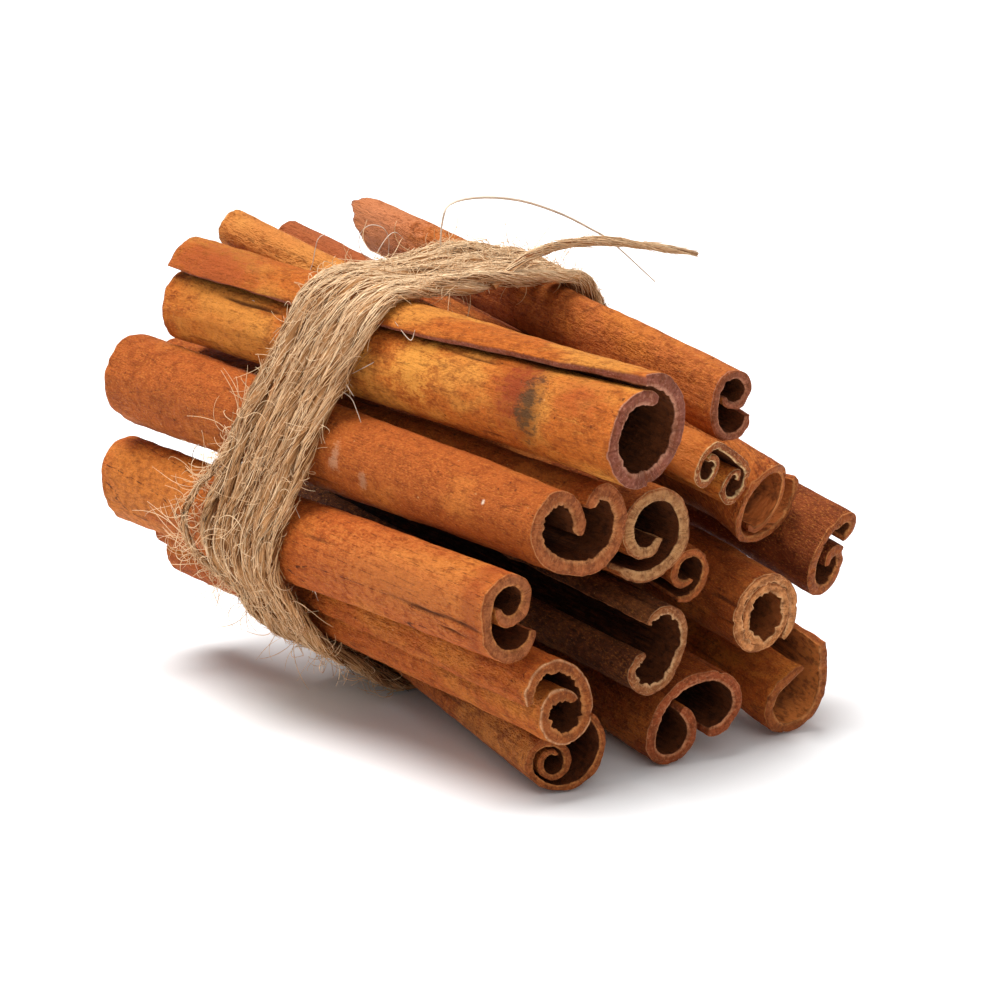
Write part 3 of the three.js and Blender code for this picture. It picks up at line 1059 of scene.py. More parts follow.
QUILLS = (
    Quill(
        "stick_01", 1.0, 275, ((1.4, 115), (2.1, 215), (6.2, 55), (2.2, 165)),
        (5.3, 43.7), (12.2, 52.1), 37.8, far_size=0.8, tongue=(4.5, 0.56, 0.1),
        finish=replace(PLAIN, base=srgb(187, 101, 45), wood=srgb(140, 80, 56), rim=srgb(180, 118, 88), seed=2,
                       marks=(Mark(1.15, 0.4, 1.0, 1.0, srgb(212, 136, 92), 0.7),)),
    ),
    Quill(
        "stick_02", 1.6, 136.4, ((3.6, 90), (5.5, 120), (3.5, 27), (7.9, 15.3), (6.1, 155)),
        (-12.8, 44.7), (-22.0, 49.3), 43.6,
        far_roll=((2.9, 75.4), (3.7, 145), (3.75, 61.6), (20, 10.8), (4.2, 176)),
        flare=2.14, far_size=1.06, tear=0.55,
        finish=replace(
            YELLOW, wood=srgb(136, 76, 58), rim=srgb(182, 124, 98), skin=srgb(118, 62, 46), seed=5,
            marks=(Mark(0.55, 6.4, 0.42, 0.36, srgb(140, 54, 24), 0.9),
                   Mark(0.7, 6.62, 0.34, 0.2, srgb(84, 60, 34), 0.9),
                   Mark(0.44, 7.35, 0.22, 0.4, srgb(164, 70, 30), 0.5),
                   Mark(0.6, 4.65, 0.36, 0.42, srgb(224, 152, 64), 0.75),
                   Mark(3.36, 0.8, 0.5, 0.9, srgb(166, 78, 36), 0.8),
                   Mark(0.66, 1.0, 0.5, 1.0, srgb(204, 126, 50), 0.5))),
    ),
    Quill(
        "stick_03", 0.9, 30, ((1.65, -205), (2.5, -213), (60, -8), (2.35, -265), (1.3, -110), (1.6, -45)),
        (4.3, 35.5), (-11.9, 54.3), 37.6, far_size=0.85,
        finish=replace(YELLOW, rim=srgb(226, 184, 130), seed=8,
                       marks=(Mark(1.2, 1.0, 1.2, 2.0, srgb(226, 148, 76), 0.6),
                              Mark(1.2, 7.4, 1.0, 0.8, srgb(172, 100, 46), 0.5))),
    ),
    Quill(
        "stick_04", 1.0, 310, ((3.7, 130), (4.85, 262), (13, 30), (3.9, 135)),
        (16.1, 28.9), (-3.6, 52.2), 32.9,
        far_roll=((1.6, 20), (2.7, 240), (3.6, 60), (3.4, 160)), flare=3, far_size=0.82,
        finish=replace(DEEP_AND_SHADED, lit_mouth=srgb(196, 106, 50), seed=11,
                       marks=(Mark(1.24, 0.6, 1.2, 1.7, srgb(188, 104, 62), 0.75),)),
    ),
    Quill(
        "stick_05", 1.35, 5, ((1.5, 180), (5.7, 100), (3, 180), (1.6, 115), (0.9, 90)),
        (25.6, 20.8), (12.1, 42.3), 34.1,
        # Its bark is darker than the other deep quills', as painted shade on the shaded side it shows.
        finish=replace(
            DEEP_AND_SHADED, base=srgb(112, 50, 22), patch=srgb(138, 68, 30), wood=srgb(152, 80, 38), seed=14),
    ),
    Quill(
        "stick_06", 1.0, 180,
        ((2.8, -90), (50, -1.4), (3.05, -178), (50, -1.4), (3.65, -178), (50, -1.4), (4.25, -178),
         (50, -1.4), (4.5, -45)),
        (10.4, 17.3), (14.4, 27.8), 39.0, tear=0.8,
        finish=replace(
            DEEP_AND_SHADED, wood=srgb(204, 134, 80), rim=srgb(224, 164, 110), lit_mouth=srgb(180, 100, 50), seed=17),
    ),
    Quill(
        "stick_07", 1.75, 100, ((15, 13), (3, 118), (4.1, 90), (11, 37), (4.8, 145), (1.8, 90), (5, 16)),
        (-18.1, 32.2), (-24.9, 36.7), 37.8,
        far_roll=((15, 13), (3.4, 118), (4.4, 90), (11, 32), (4.6, 130), (2.5, 85), (4, 0.5)), far_size=1.14,
        tear=0.5, finish=replace(
            PLAIN, base=srgb(176, 89, 34), patch=srgb(198, 112, 46), patches=0.4,
            wood=srgb(164, 92, 50), rim=srgb(194, 128, 78), flecks=0.6, seed=20,
            marks=(Mark(1.25, 4.52, 0.13, 0.1, srgb(190, 150, 118), 0.5),
                   Mark(1.38, 5.04, 0.1, 0.08, srgb(182, 146, 114), 0.5),
                   Mark(1.15, 7.13, 0.03, 0.025, srgb(240, 220, 196), 0.9))),
    ),
    Quill(
        "stick_08", 1.45, 255, ((2.3, -135), (4, -120), (3.4, -40), (5.3, -185)),
        (-6.3, 29.6), (-1.6, 32.8), 37.3,
        finish=replace(DEEP_AND_SHADED, wood=srgb(176, 124, 78), rim=srgb(192, 142, 94), seed=23),
    ),
    Quill(
        "stick_09", 1.05, 230, ((1.6, -118), (2.2, -147), (3.1, -160)),
        (0.4, 23.2), (8.3, 33.1), 36.3,
        finish=replace(DEEP_AND_SHADED, wood=srgb(164, 88, 44), seed=26),
    ),
    Quill(
        "stick_10", 1.4, 270, ((1.8, 105), (2.5, 155), (3.3, 90), (7.4, 35), (3.7, 136)),
        (-28.3, 23.7), (-27.9, 23.7), 37.9, far_size=1.05, cracks=16,
        finish=replace(PLAIN, wood=srgb(162, 94, 54), threads=0.9, seed=29,
                       marks=(Mark(1.55, 6.6, 0.5, 1.8, srgb(196, 118, 56), 0.5),
                              Mark(1.5, 7.75, 1.6, 0.16, srgb(150, 66, 26), 0.5))),
    ),
    Quill(
        "stick_11", 1.1, 60, ((2.9, -90), (4.1, -80), (15, -12), (3.7, -112), (2, -100), (1.2, -50)),
        (-6.2, 15.7), (-2.4, 21.4), 38.4, tear=0.7,
        finish=replace(DARK_AND_SHADED, wood=srgb(156, 98, 58), rim=srgb(204, 154, 108), seed=32),
    ),
    Quill(
        "stick_12", 1.3, 110, ((3.3, -115), (5.6, -95), (3.3, -155), (2.5, -165)),
        (-22.3, 12.6), (-20.8, 15.0), 39.3, tear=0.7,
        finish=replace(PLAIN, skin=srgb(214, 160, 116), seed=35),
    ),
    Quill(
        "stick_13", 0.85, 317, ((5, -190), (2.5, -240), (1.7, -215), (0.95, -85)),
        (-18.8, 4.8), (0.8, 8.3), 36.3,
        finish=replace(DEEP_AND_SHADED, base=srgb(176, 92, 38), patch=srgb(196, 118, 54), seed=38),
    ),
    Quill(
        "stick_14", 1.25, 330, ((3.4, -130), (2.5, -105), (7.3, -92), (4.9, -55), (3.4, -138)),
        (0.3, 5.8), (12.6, 10.2), 37.7,
        finish=replace(DEEP_AND_SHADED, wood=srgb(150, 74, 40), rim=srgb(196, 128, 88), seed=41),
    ),
    Quill(
        "stick_15", 1.25, 210, ((30, 6), (3.7, 105), (4, 122), (14.3, 33)),
        (16.7, 6.2), (20, 20.8), 38.0,
        finish=replace(PLAIN, inner=srgb(150, 82, 38), lit_mouth=srgb(226, 134, 66), seed=44),
    ),
)


@dataclass
class Strand:
    """A line that jute follows, with the way outwards from it.

    Attributes:
        line: The line's points, close together.
        outward: The way outwards at each of them.
        radius: The cord's radius at each of them.
        run: How far along the line each of them is.
        tangent: The line's way there.
        side: The way that is square to the line's way and to outwards.
    """

    line: np.ndarray
    outward: np.ndarray
    radius: np.ndarray
    run: np.ndarray = field(init=False)
    tangent: np.ndarray = field(init=False)
    side: np.ndarray = field(init=False)

    def __post_init__(self) -> None:
        """Work out the frame at each point."""
        self.run = np.concatenate([[0], np.cumsum(np.linalg.norm(np.diff(self.line, axis=0), axis=1))])
        tangent = np.gradient(self.line, axis=0)
        self.tangent = tangent / np.linalg.norm(tangent, axis=1, keepdims=True)
        out = self.outward - self.tangent * np.sum(self.outward * self.tangent, axis=1, keepdims=True)
        self.outward = out / np.linalg.norm(out, axis=1, keepdims=True)
        self.side = np.cross(self.tangent, self.outward)

    def at(self, run: np.ndarray, values: np.ndarray) -> np.ndarray:
        """Read one of the strand's rows at distances along it.

        Args:
            run: The distances.
            values: The rows.

        Returns:
            The rows in between.
        """
        if values.ndim == 1:
            return np.interp(run, self.run, values)
        return np.stack([np.interp(run, self.run, values[:, i]) for i in range(3)], axis=-1)

    def surface(self, run: np.ndarray, turn: np.ndarray, lift: np.ndarray) -> np.ndarray:
        """Find points round the strand.

        Args:
            run: How far along it they are.
            turn: How far round it, in radians from outwards.
            lift: How far from its middle.

        Returns:
            The points.
        """
        out = np.cos(turn)[..., None] * self.at(run, self.outward)
        side = np.sin(turn)[..., None] * self.at(run, self.side)
        return self.at(run, self.line) + lift[..., None] * (out + side)


def cord_mesh(
    name: str, strand: Strand, around: int, lay: float, slack: float, seed: int
) -> bpy.types.Object:
    """Roll a flat sheet into a cord of two plies.

    Args:
        name: The piece's name.
        strand: The line it follows.
        around: How many faces it has round it.
        lay: How far a ply runs while it goes once round.
        slack: How far the plies stand out, against the cord's radius.
        seed: Which cord this is.

    Returns:
        The piece.
    """
    rows = len(strand.line) - 1
    piece = sheet_blank(name, around, rows, 0)
    flat = corners(piece)
    turn = flat[:, 0] * 2 * np.pi
    run = strand.at(flat[:, 1] * strand.run[-1], strand.run)
    noise = Relief(seed)
    ply = np.cos(2 * (turn - 2 * np.pi * run / lay))
    fuzz = noise.rough(np.cos(turn) * 3 + run / 9, np.sin(turn) * 3 + run / 3)
    lift = strand.at(run, strand.radius) * (1 + slack * ply + 0.14 * fuzz)
    set_corners(piece, strand.surface(run, turn, lift))
    keep(piece, "lay", np.stack([flat[:, 0] * 0.5 + run / lay * 0.25, run / 10, np.zeros_like(run)], axis=-1))
    # Painted shade: the cord under the fibres mostly gets a tone below 0, which darkens it towards the deep
    # colour, varied at random.
    keep(piece, "tone", 0.45 * noise.at(run / 3, turn) - 0.3)
    bpy.ops.object.mode_set(mode="EDIT")
    bpy.ops.mesh.select_all(action="SELECT")
    bpy.ops.mesh.remove_doubles(threshold=1e-6)
    bpy.ops.mesh.select_all(action="DESELECT")
    bpy.ops.mesh.select_mode(type="EDGE")
    bpy.ops.mesh.select_non_manifold()
    bpy.ops.mesh.edge_face_add()
    bpy.ops.mesh.select_all(action="SELECT")
    bpy.ops.mesh.normals_make_consistent(inside=False)
    bpy.ops.object.mode_set(mode="OBJECT")
    bpy.ops.object.shade_smooth_by_angle(angle=math.radians(60))
    return piece


@dataclass
class FibreStock:
    """One fibre, modelled once and copied along many lines.

    Attributes:
        stages: How many faces a fibre is long.
    """

    stages: int = 10

    def blank(self) -> tuple[np.ndarray, np.ndarray, np.ndarray]:
        """Model the fibre: a thin three-sided rod, cut across at each stage.

        Returns:
            For each corner its stage and its turn round the rod, and the faces.
        """
        clear_selection()
        bpy.ops.mesh.primitive_cylinder_add(
            vertices=3, radius=1, depth=1, location=(0, 0, 0.5), end_fill_type="NGON"
        )
        piece = bpy.context.object
        bpy.ops.object.transform_apply(location=True)
        bpy.ops.object.mode_set(mode="EDIT")
        for stage in range(1, self.stages):
            bpy.ops.mesh.select_all(action="SELECT")
            bpy.ops.mesh.bisect(plane_co=(0, 0, stage / self.stages), plane_no=(0, 0, 1))
        bpy.ops.mesh.select_all(action="SELECT")
        bpy.ops.mesh.quads_convert_to_tris()
        bpy.ops.object.mode_set(mode="OBJECT")
        places = corners(piece)
        stage = np.rint(places[:, 2] * self.stages).astype(int)
        turn = np.arctan2(places[:, 1], places[:, 0])
        faces = np.array([tuple(face.vertices) for face in piece.data.polygons])
        bpy.data.objects.remove(piece)
        return stage, turn, faces

    def spread(self, name: str, lines: np.ndarray, radius: np.ndarray, tone: np.ndarray) -> bpy.types.Object:
        """Copy the fibre along lines.

        Args:
            name: The piece's name.
            lines: The lines, each of as many points as the fibre has stages and one more.
            radius: Each fibre's radius.
            tone: How pale each fibre is, from 0 to 1; for laid fibres it carries painted light and shade too.

        Returns:
            The piece.
        """
        stage, turn, faces = self.blank()
        count = len(lines)
        lines[..., 2] = np.maximum(lines[..., 2], LOWEST)
        tangent = np.gradient(lines, axis=1)
        tangent /= np.linalg.norm(tangent, axis=2, keepdims=True) + 1e-9
        side = np.cross(tangent, np.array([0.31, 0.17, 0.93]))
        side /= np.linalg.norm(side, axis=2, keepdims=True) + 1e-9
        over = np.cross(tangent, side)
        taper = np.sin(np.pi * np.clip(np.arange(self.stages + 1) / self.stages, 0.06, 0.94)) ** 0.35
        thick = radius[:, None] * taper[stage]
        offset = side[:, stage] * np.cos(turn)[:, None] + over[:, stage] * np.sin(turn)[:, None]
        places = lines[:, stage] + offset * thick[..., None]
        size = len(stage)
        all_faces = (faces[None] + (np.arange(count) * size)[:, None, None]).reshape(-1, 3)
        mesh = bpy.data.meshes.new(name)
        mesh.vertices.add(count * size)
        mesh.loops.add(all_faces.size)
        mesh.polygons.add(len(all_faces))
        mesh.loops.foreach_set("vertex_index", all_faces.ravel())
        mesh.polygons.foreach_set("loop_start", np.arange(0, all_faces.size, 3))
        piece = bpy.data.objects.new(name, mesh)
        bpy.context.scene.collection.objects.link(piece)
        set_corners(piece, places.reshape(-1, 3))
        mesh.update(calc_edges=True)
        mesh.validate()
        mesh.shade_smooth()
        lay = np.zeros((count, size, 3))
        lay[..., 0] = np.arange(count)[:, None] * 0.37
        lay[..., 1] = stage / 5
        keep(piece, "lay", lay.reshape(-1, 3))
        keep(piece, "tone", np.repeat(tone, size))
        return piece


def lay_fibres(
    name: str, strand: Strand, draw: np.random.Generator, count: int, span: tuple[float, float], fray: float
) -> bpy.types.Object:
    """Lay fibres along a cord's surface, most of them with its plies.

    Args:
        name: The piece's name.
        strand: The cord's line.
        draw: Where the random numbers come from.
        count: How many fibres there are.
        span: From where to where along the cord they begin.
        fray: How far their loose ends stand off.

    Returns:
        The piece.
    """
    stock = FibreStock(8)
    along = np.linspace(0, 1, stock.stages + 1)
    length = draw.uniform(4, 16, count)
    start = draw.uniform(span[0], max(span[0] + 1, span[1] - 4), count)
    run = np.clip(start[:, None] + length[:, None] * along, 0, strand.run[-1])
    first = draw.uniform(-2.6, 2.6, count)[:, None]
    lay = np.where(draw.uniform(0, 1, count) < PLY_SHARE, PLY_LAY, draw.uniform(24, 120, count))
    turn = first + 2 * np.pi * (run - run[:, :1]) / lay[:, None]
    turn += draw.normal(0, 0.14, run.shape).cumsum(axis=1)
    rise = draw.uniform(-0.05, 0.12, count)[:, None] + draw.normal(0, 0.025, run.shape).cumsum(axis=1)
    loose = draw.uniform(0, 1, count) ** 4 * fray
    rise = np.clip(rise, -0.08, 0.25) + loose[:, None] * np.abs(2 * along - 1) ** 3
    ply = np.cos(2 * (turn - 2 * np.pi * run / PLY_LAY))
    lift = strand.at(run, strand.radius) * (1 + 0.16 * ply) + rise
    places = strand.surface(run, turn, lift)
    # Painted light and shade: besides a random tone, fibres in the valleys at the plies' sides are darker,
    # and fibres high on the bundle, above 47 mm, paler.
    height = places[..., 2].mean(axis=1)
    valley_shade = np.clip((np.abs(turn.mean(axis=1)) - 0.9) / 0.9, 0, 1)
    tone = 0.9 * draw.uniform(0, 1, count) - 0.7 * valley_shade + 0.8 * np.clip((height - 47) / 8, 0, 1)
    return stock.spread(name, places, draw.uniform(*LAID_RADII, count), tone)


def eased(share: np.ndarray, values: Sequence[float]) -> np.ndarray:
    """Read evenly spaced values smoothly.

    Args:
        share: Where to read them, from 0 to 1.
        values: The values.

    Returns:
        The value at each place.
    """
    place = share * (len(values) - 1)
    low = np.clip(np.floor(place).astype(int), 0, len(values) - 2)
    part = np.clip(place - low, 0, 1)
    part = part * part * (3 - 2 * part)
    row = np.array(values)
    return row[low] * (1 - part) + row[low + 1] * part


def fly_hairs(name: str, strand: Strand, draw: np.random.Generator, count: int) -> bpy.types.Object:
    """Let loose hairs fly away from a cord.

    Args:
        name: The piece's name.
        strand: The cord's line.
        draw: Where the random numbers come from.
        count: How many hairs there are.

    Returns:
        The piece.
    """
    stock = FibreStock(12)
    start = draw.uniform(1, strand.run[-1] - 1, count)
    turn = draw.uniform(-1.9, 1.9, count)
    lift = strand.at(start, strand.radius)
    point = strand.surface(start, turn, lift)
    out = strand.surface(start, turn, lift + 1) - point
    ahead = strand.at(start, strand.tangent) * np.sign(draw.uniform(-1, 1, count))[:, None]
    way = ahead + out * draw.uniform(0.1, 1.1, count)[:, None] + draw.normal(0, 0.25, (count, 3))
    way /= np.linalg.norm(way, axis=1, keepdims=True)
    spin = draw.normal(0, 0.16, (count, 3))
    step = (0.1 + 0.6 * draw.uniform(0, 1, count) ** 2)[:, None]
    lines = [point]
    for _ in range(stock.stages):
        spin = spin * 0.97 + draw.normal(0, 0.03, (count, 3))
        way = way + np.cross(spin, way)
        way /= np.linalg.norm(way, axis=1, keepdims=True)
        point = point + way * step
        point[:, 2] = np.maximum(point[:, 2], 0.3)
        lines.append(point)
    radius = draw.uniform(*HAIR_RADII, count)
    return stock.spread(name, np.stack(lines, axis=1), radius, draw.uniform(0.4, 1, count))


def smooth(line: np.ndarray, spacing: float, reach: float) -> np.ndarray:
    """Space a line's points evenly and round its corners.

    Args:
        line: The line's points.
        spacing: The distance between the new points.
        reach: How far the rounding reaches each way.

    Returns:
        The new points.
    """
    run = np.concatenate([[0], np.cumsum(np.linalg.norm(np.diff(line, axis=0), axis=1))])
    places = np.linspace(0, run[-1], max(2, round(run[-1] / spacing)))
    even = np.stack([np.interp(places, run, line[:, i]) for i in range(3)], axis=-1)
    half = max(1, round(reach / spacing))
    weights = np.hanning(2 * half + 3)[1:-1]
    weights /= weights.sum()
    padded = np.vstack([2 * even[0] - even[half:0:-1], even, 2 * even[-1] - even[-2:-half - 2:-1]])
    return np.stack([np.convolve(padded[:, i], weights, "valid") for i in range(3)], axis=-1)


@dataclass
class Band:
    """The turns of twine round the middle of the bundle.

    Attributes:
        twine: The twine's diameter.
        turns: How many turns there are.
        pitch: From one turn to the next.
        first_x: X of the first turn, on the X axis.
        lean: How far the band leans ahead for each millimetre of Y and of Z.
        stand: How far the twine's middle stands off the outermost bark.
        leaves_at_y: Y of the twine's two ends, on top.
        heart: A point inside the band, which outwards is away from.
        finish: The looks of its jute.
    """

    twine: float = 1.7
    turns: int = 8
    pitch: float = 1.85
    first_x: float = -21.2
    lean: tuple[float, float] = (-0.02, 0.2)
    stand: float = 1.7 / 2 + 0.3 + 0.22
    leaves_at_y: float = -5.2
    heart: tuple[float, float, float] = (0.0, -2.0, 28.0)
    finish: JuteFinish = JuteFinish()

    def ahead(self, point: np.ndarray) -> Any:
        """X of the leaning plane that a point is in."""
        return point[..., 0] - self.lean[0] * point[..., 1] - self.lean[1] * point[..., 2]

    def section(self, x: float) -> np.ndarray:
        """Cut every quill's corners by a leaning plane.

        Args:
            x: Where the plane meets the X axis.

        Returns:
            The points.
        """
        points = []
        for quill in QUILLS:
            start, axis, right, up = quill.pose()
            t = (x - self.ahead(start)) / (self.ahead(axis) * QUILL_LENGTH)
            flat = quill.centred(float(t))
            line = start + np.outer(flat[:, 0], right) + np.outer(flat[:, 1], up)
            points.append(line + np.outer((x - self.ahead(line)) / self.ahead(axis), axis))
        return np.vstack(points)

    def hull(self, points: np.ndarray) -> list[int]:
        """Find the convex hull of points, seen along X.

        Args:
            points: The points.

        Returns:
            The hull's corners as indices, clockwise from the top.
        """
        order = sorted(range(len(points)), key=lambda i: (points[i, 1], points[i, 2]))

        def half(indices: list[int]) -> list[int]:
            """Walk one side of the hull."""
            chain: list[int] = []
            for i in indices:
                while len(chain) > 1 and self.turns_left(points, chain[-2], chain[-1], i):
                    chain.pop()
                chain.append(i)
            return chain[:-1]

        hull = half(order) + half(order[::-1])
        right = [points[i, 1] > self.leaves_at_y for i in hull]
        top = next(k for k in range(len(hull)) if not right[k] and right[(k + 1) % len(hull)])
        return hull[top + 1:] + hull[:top + 1]

    @staticmethod
    def turns_left(points: np.ndarray, i: int, j: int, k: int) -> bool:
        """Whether the way from i by j to k turns left or goes straight on."""
        one, two = points[j, 1:] - points[i, 1:], points[k, 1:] - points[j, 1:]
        return bool(one[0] * two[1] - one[1] * two[0] >= 0)

    def bends(self, x: float) -> list[tuple[int, np.ndarray, float]]:
        """Find the corners that tight twine bends over.

        Args:
            x: Where the twine's plane meets the X axis.

        Returns:
            For each corner its index, how far the twine stands off, and the leg to the next.
        """
        section = self.section(x)
        hull = self.hull(section)
        count = len(hull)

        def outward(at: int) -> np.ndarray:
            """The way outwards from the leg after a corner."""
            leg = section[hull[(at + 1) % count]] - section[hull[at % count]]
            leg[0] = 0
            leg /= np.linalg.norm(leg)
            return np.array([0, -leg[2], leg[1]])

        found = []
        for at, index in enumerate(hull):
            mitre = outward(at - 1) + outward(at)
            mitre /= np.linalg.norm(mitre)
            off = mitre * self.stand / mitre.dot(outward(at))
            leg = float(np.linalg.norm(section[hull[(at + 1) % count]] - section[index]))
            found.append((index, off, leg))
        return found

    def route(self) -> np.ndarray:
        """Work out the twine's way round the bundle.

        Returns:
            The points of the way.
        """
        route = []
        for turn in range(self.turns):
            bends = self.bends(self.first_x + self.pitch * (turn + 0.5))
            whole = sum(leg for _, _, leg in bends)
            run = 0.0
            for index, off, leg in bends:
                x = self.first_x + self.pitch * (turn + run / whole)
                route.append(self.section(x)[index] + off)
                run += leg
        end = self.first_x + self.pitch * self.turns
        section, bends = self.section(end), self.bends(end)
        after, before = (section[bends[i][0]] + bends[i][1] for i in (0, -1))
        share = (self.leaves_at_y - before[1]) / (after[1] - before[1])
        route.append(before + (after - before) * share)
        return np.array(route)

    def strand(self) -> Strand:
        """Work out the twine's uneven line.

        Returns:
            The strand.
        """
        line = smooth(self.route(), LINE_STEP, 1.6)
        out = line - np.array(self.heart)
        out[:, 0] = 0
        out /= np.linalg.norm(out, axis=1, keepdims=True)
        run = np.arange(len(line)) * LINE_STEP
        wander = Relief(60)
        turn = (self.ahead(line) - self.first_x) / self.pitch
        on_top = np.exp(-(((line[:, 1] + 1) / 7) ** 2)) * (line[:, 2] > 35)
        on_left = np.exp(-(((line[:, 2] - 25) / 5) ** 2)) * (line[:, 1] < -20)
        line += out * (1.7 * on_top * np.clip(1.15 - turn / 6, 0, 1))[:, None]
        line[:, 0] -= 2.1 * on_left * np.clip(1.3 - turn, 0, 1)
        sway, shake, swell, thick = (
            wander.rough(run / reach + shift, run * 0, 2)
            for reach, shift in ((13, 0), (4.5, 20), (8, 40), (5, 80))
        )
        line[:, 0] += 0.6 * sway + 0.3 * shake
        line += out * (0.1 + 0.28 * swell)[:, None]
        radius = 0.66 * (1 + 0.22 * thick)
        ends = np.clip(np.minimum(run, run[-1] - run) / 2.5, 0.12, 1)
        return Strand(line, out, radius * ends**0.5)

    @staticmethod
    def loosened(
        strand: Strand, begin: float, end: float, radius: float, ahead: Sequence[float], lift: Sequence[float]
    ) -> Strand:
        """Copy a part of the twine, bent out of its place.

        Args:
            strand: The twine's strand.
            begin: Where the part begins along it.
            end: Where it ends.
            radius: The copy's radius.
            ahead: How far the copy lies ahead, at even places along it.
            lift: How far it lies outwards, at even places along it.

        Returns:
            The copy.
        """
        run = np.arange(begin, end, LINE_STEP)
        share = (run - begin) / (end - begin)
        out = strand.at(run, strand.outward)
        line = strand.at(run, strand.line) + out * eased(share, lift)[:, None]
        line[:, 0] += eased(share, ahead)
        ends = np.clip(np.minimum(share, 1 - share) * 12, 0.2, 1)
        return Strand(line, out, radius * ends**0.5)

    def crossing(self, strand: Strand) -> Strand:
        """Lead a strand over the place where the free end comes out.

        Args:
            strand: The twine's strand.

        Returns:
            The crossing strand.
        """
        turn_before = strand.run[-1] * (1 - 1 / self.turns)
        ahead = (1.0, 1.3, 2.1, 2.4, 2.1, 1.9, 1.9, 1.9, 1.9)
        lift = (-0.5, 0.9, 1.0, 0.8, 0.4, 0.15, 0.1, 0.0, -0.6)
        return self.loosened(strand, turn_before - 15, turn_before + 36, 0.6, ahead, lift)

    def loop(self, strand: Strand) -> Strand:
        """Let a thin strand bulge out on the left of the first turn.

        Args:
            strand: The twine's strand.

        Returns:
            The loose strand.
        """
        first = strand.run < strand.run[-1] / self.turns
        on_left = first & (strand.line[:, 1] < -20)
        at = strand.run[np.argmin(np.where(on_left, np.abs(strand.line[:, 2] - 26), np.inf))]
        ahead = (0.6, -0.7, -1.7, -2.9, -3.6, -3.1, -1.7, -0.6, 0.5)
        lift = (-0.6, 0.1, 0.4, 0.8, 1.0, 0.8, 0.4, 0.1, -0.6)
        return self.loosened(strand, at - 17, at + 14, 0.3, ahead, lift)

    def build(self) -> Strand:
        """Make the twine and its fibres.

        Returns:
            The twine's strand.
        """
        strand = self.strand()
        jute = self.finish.material("jute")
        twine = cord_mesh("twine_turns", strand, 12, PLY_LAY, 0.16, 61)
        dress(twine, jute)
        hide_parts("twine_wrap")
        self.add_fibres(strand, jute)
        crossing, loop = self.crossing(strand), self.loop(strand)
        self.add_loose("twine_crossing", crossing, 360, 90, jute)
        self.add_loose("twine_loop", loop, 110, 94, jute)
        dress(fly_hairs("twine_hairs", strand, np.random.default_rng(80), 1700), jute)
        dress(fly_hairs("twine_tangle", loop, np.random.default_rng(84), 300), jute)
        return strand

    def add_loose(self, name: str, strand: Strand, fibres: int, seed: int, jute: bpy.types.Material) -> None:
        """Make a strand that lies on the others.

        Args:
            name: The piece's name.
            strand: Its strand.
            fibres: How many fibres lie on it.
            seed: Which strand this is.
            jute: The material.
        """
        dress(cord_mesh(name, strand, 10, PLY_LAY, 0.14, seed), jute)
        draw = np.random.default_rng(seed + 1)
        laid = lay_fibres(f"{name}_fibres", strand, draw, fibres, (0, strand.run[-1]), 1.0)
        dress(laid, jute)

    def add_fibres(self, strand: Strand, jute: bpy.types.Material) -> None:
        """Lay fibres along the twine's surface.

        Args:
            strand: The twine's strand.
            jute: The material.
        """
        draw = np.random.default_rng(70)
        pieces, each = 6, 1450
        for number in range(pieces):
            begin, end = strand.run[-1] * number / pieces, strand.run[-1] * (number + 1) / pieces
            fibres = lay_fibres(f"twine_fibres_{number + 1}", strand, draw, each, (begin, end), 1.0)
            dress(fibres, jute)


@dataclass
class FreeEnd:
    """The twine's free end, which springs out to the right.

    Attributes:
        leaves: Where it leaves the last turn.
        gap: From there to where it begins.
        rises: How far it runs to the right, and up, at each point of its route.
        diameter: Its thickness.
        finish: The looks of its jute.
    """

    leaves: tuple[float, float, float]
    gap: float = 0.75
    rises: tuple[tuple[float, float], ...] = (
        (0, 0), (2.4, 1.6), (4.8, 2.8), (7.2, 3.5), (9.6, 3.85), (12.0, 3.95), (14.4, 3.85),
        (16.8, 3.6), (19.2, 3.2), (21.6, 2.7), (24.0, 2.15), (26.4, 1.6), (28.8, 1.0),
        (31.2, 0.4), (33.4, -0.2),
    )
    diameter: float = 0.9
    finish: JuteFinish = JuteFinish(srgb(232, 200, 160), srgb(196, 138, 86), srgb(128, 76, 42))

    def route(self) -> np.ndarray:
        """The points that the free end follows."""
        x, y, z = self.leaves
        return np.array([(x, y + self.gap + run, z + rise) for run, rise in self.rises])

    def build(self) -> bpy.types.Object:
        """Make the free end.

        Returns:
            The piece.
        """
        route = self.route()
        line = smooth(route, 0.35, 1.2)
        share = np.linspace(0, 1, len(line))
        radius = 0.28 * (1 - share) ** 0.6 + 0.2
        strand = Strand(line, np.tile([0.0, 0.0, 1.0], (len(line), 1)), radius)
        piece = cord_mesh("twine_free_end", strand, 12, PLY_LAY / 2, 0.14, 62)
        jute = self.finish.material("jute_end")
        dress(piece, jute)
        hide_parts("twine_end")
        draw = np.random.default_rng(72)
        fray = lay_fibres("twine_end_fibres", strand, draw, 260, (0, strand.run[-1] - 5), 0.5)
        dress(fray, jute)
        return piece


@dataclass(frozen=True)
class Stray:
    """One long fibre that has come loose.

    Attributes:
        route: The points that it follows.
        radius: Its radius.
        tone: How pale it is, from 0 to 1.
    """

    route: tuple[tuple[float, float, float], ...]
    radius: float = 0.07
    tone: float = 0.9


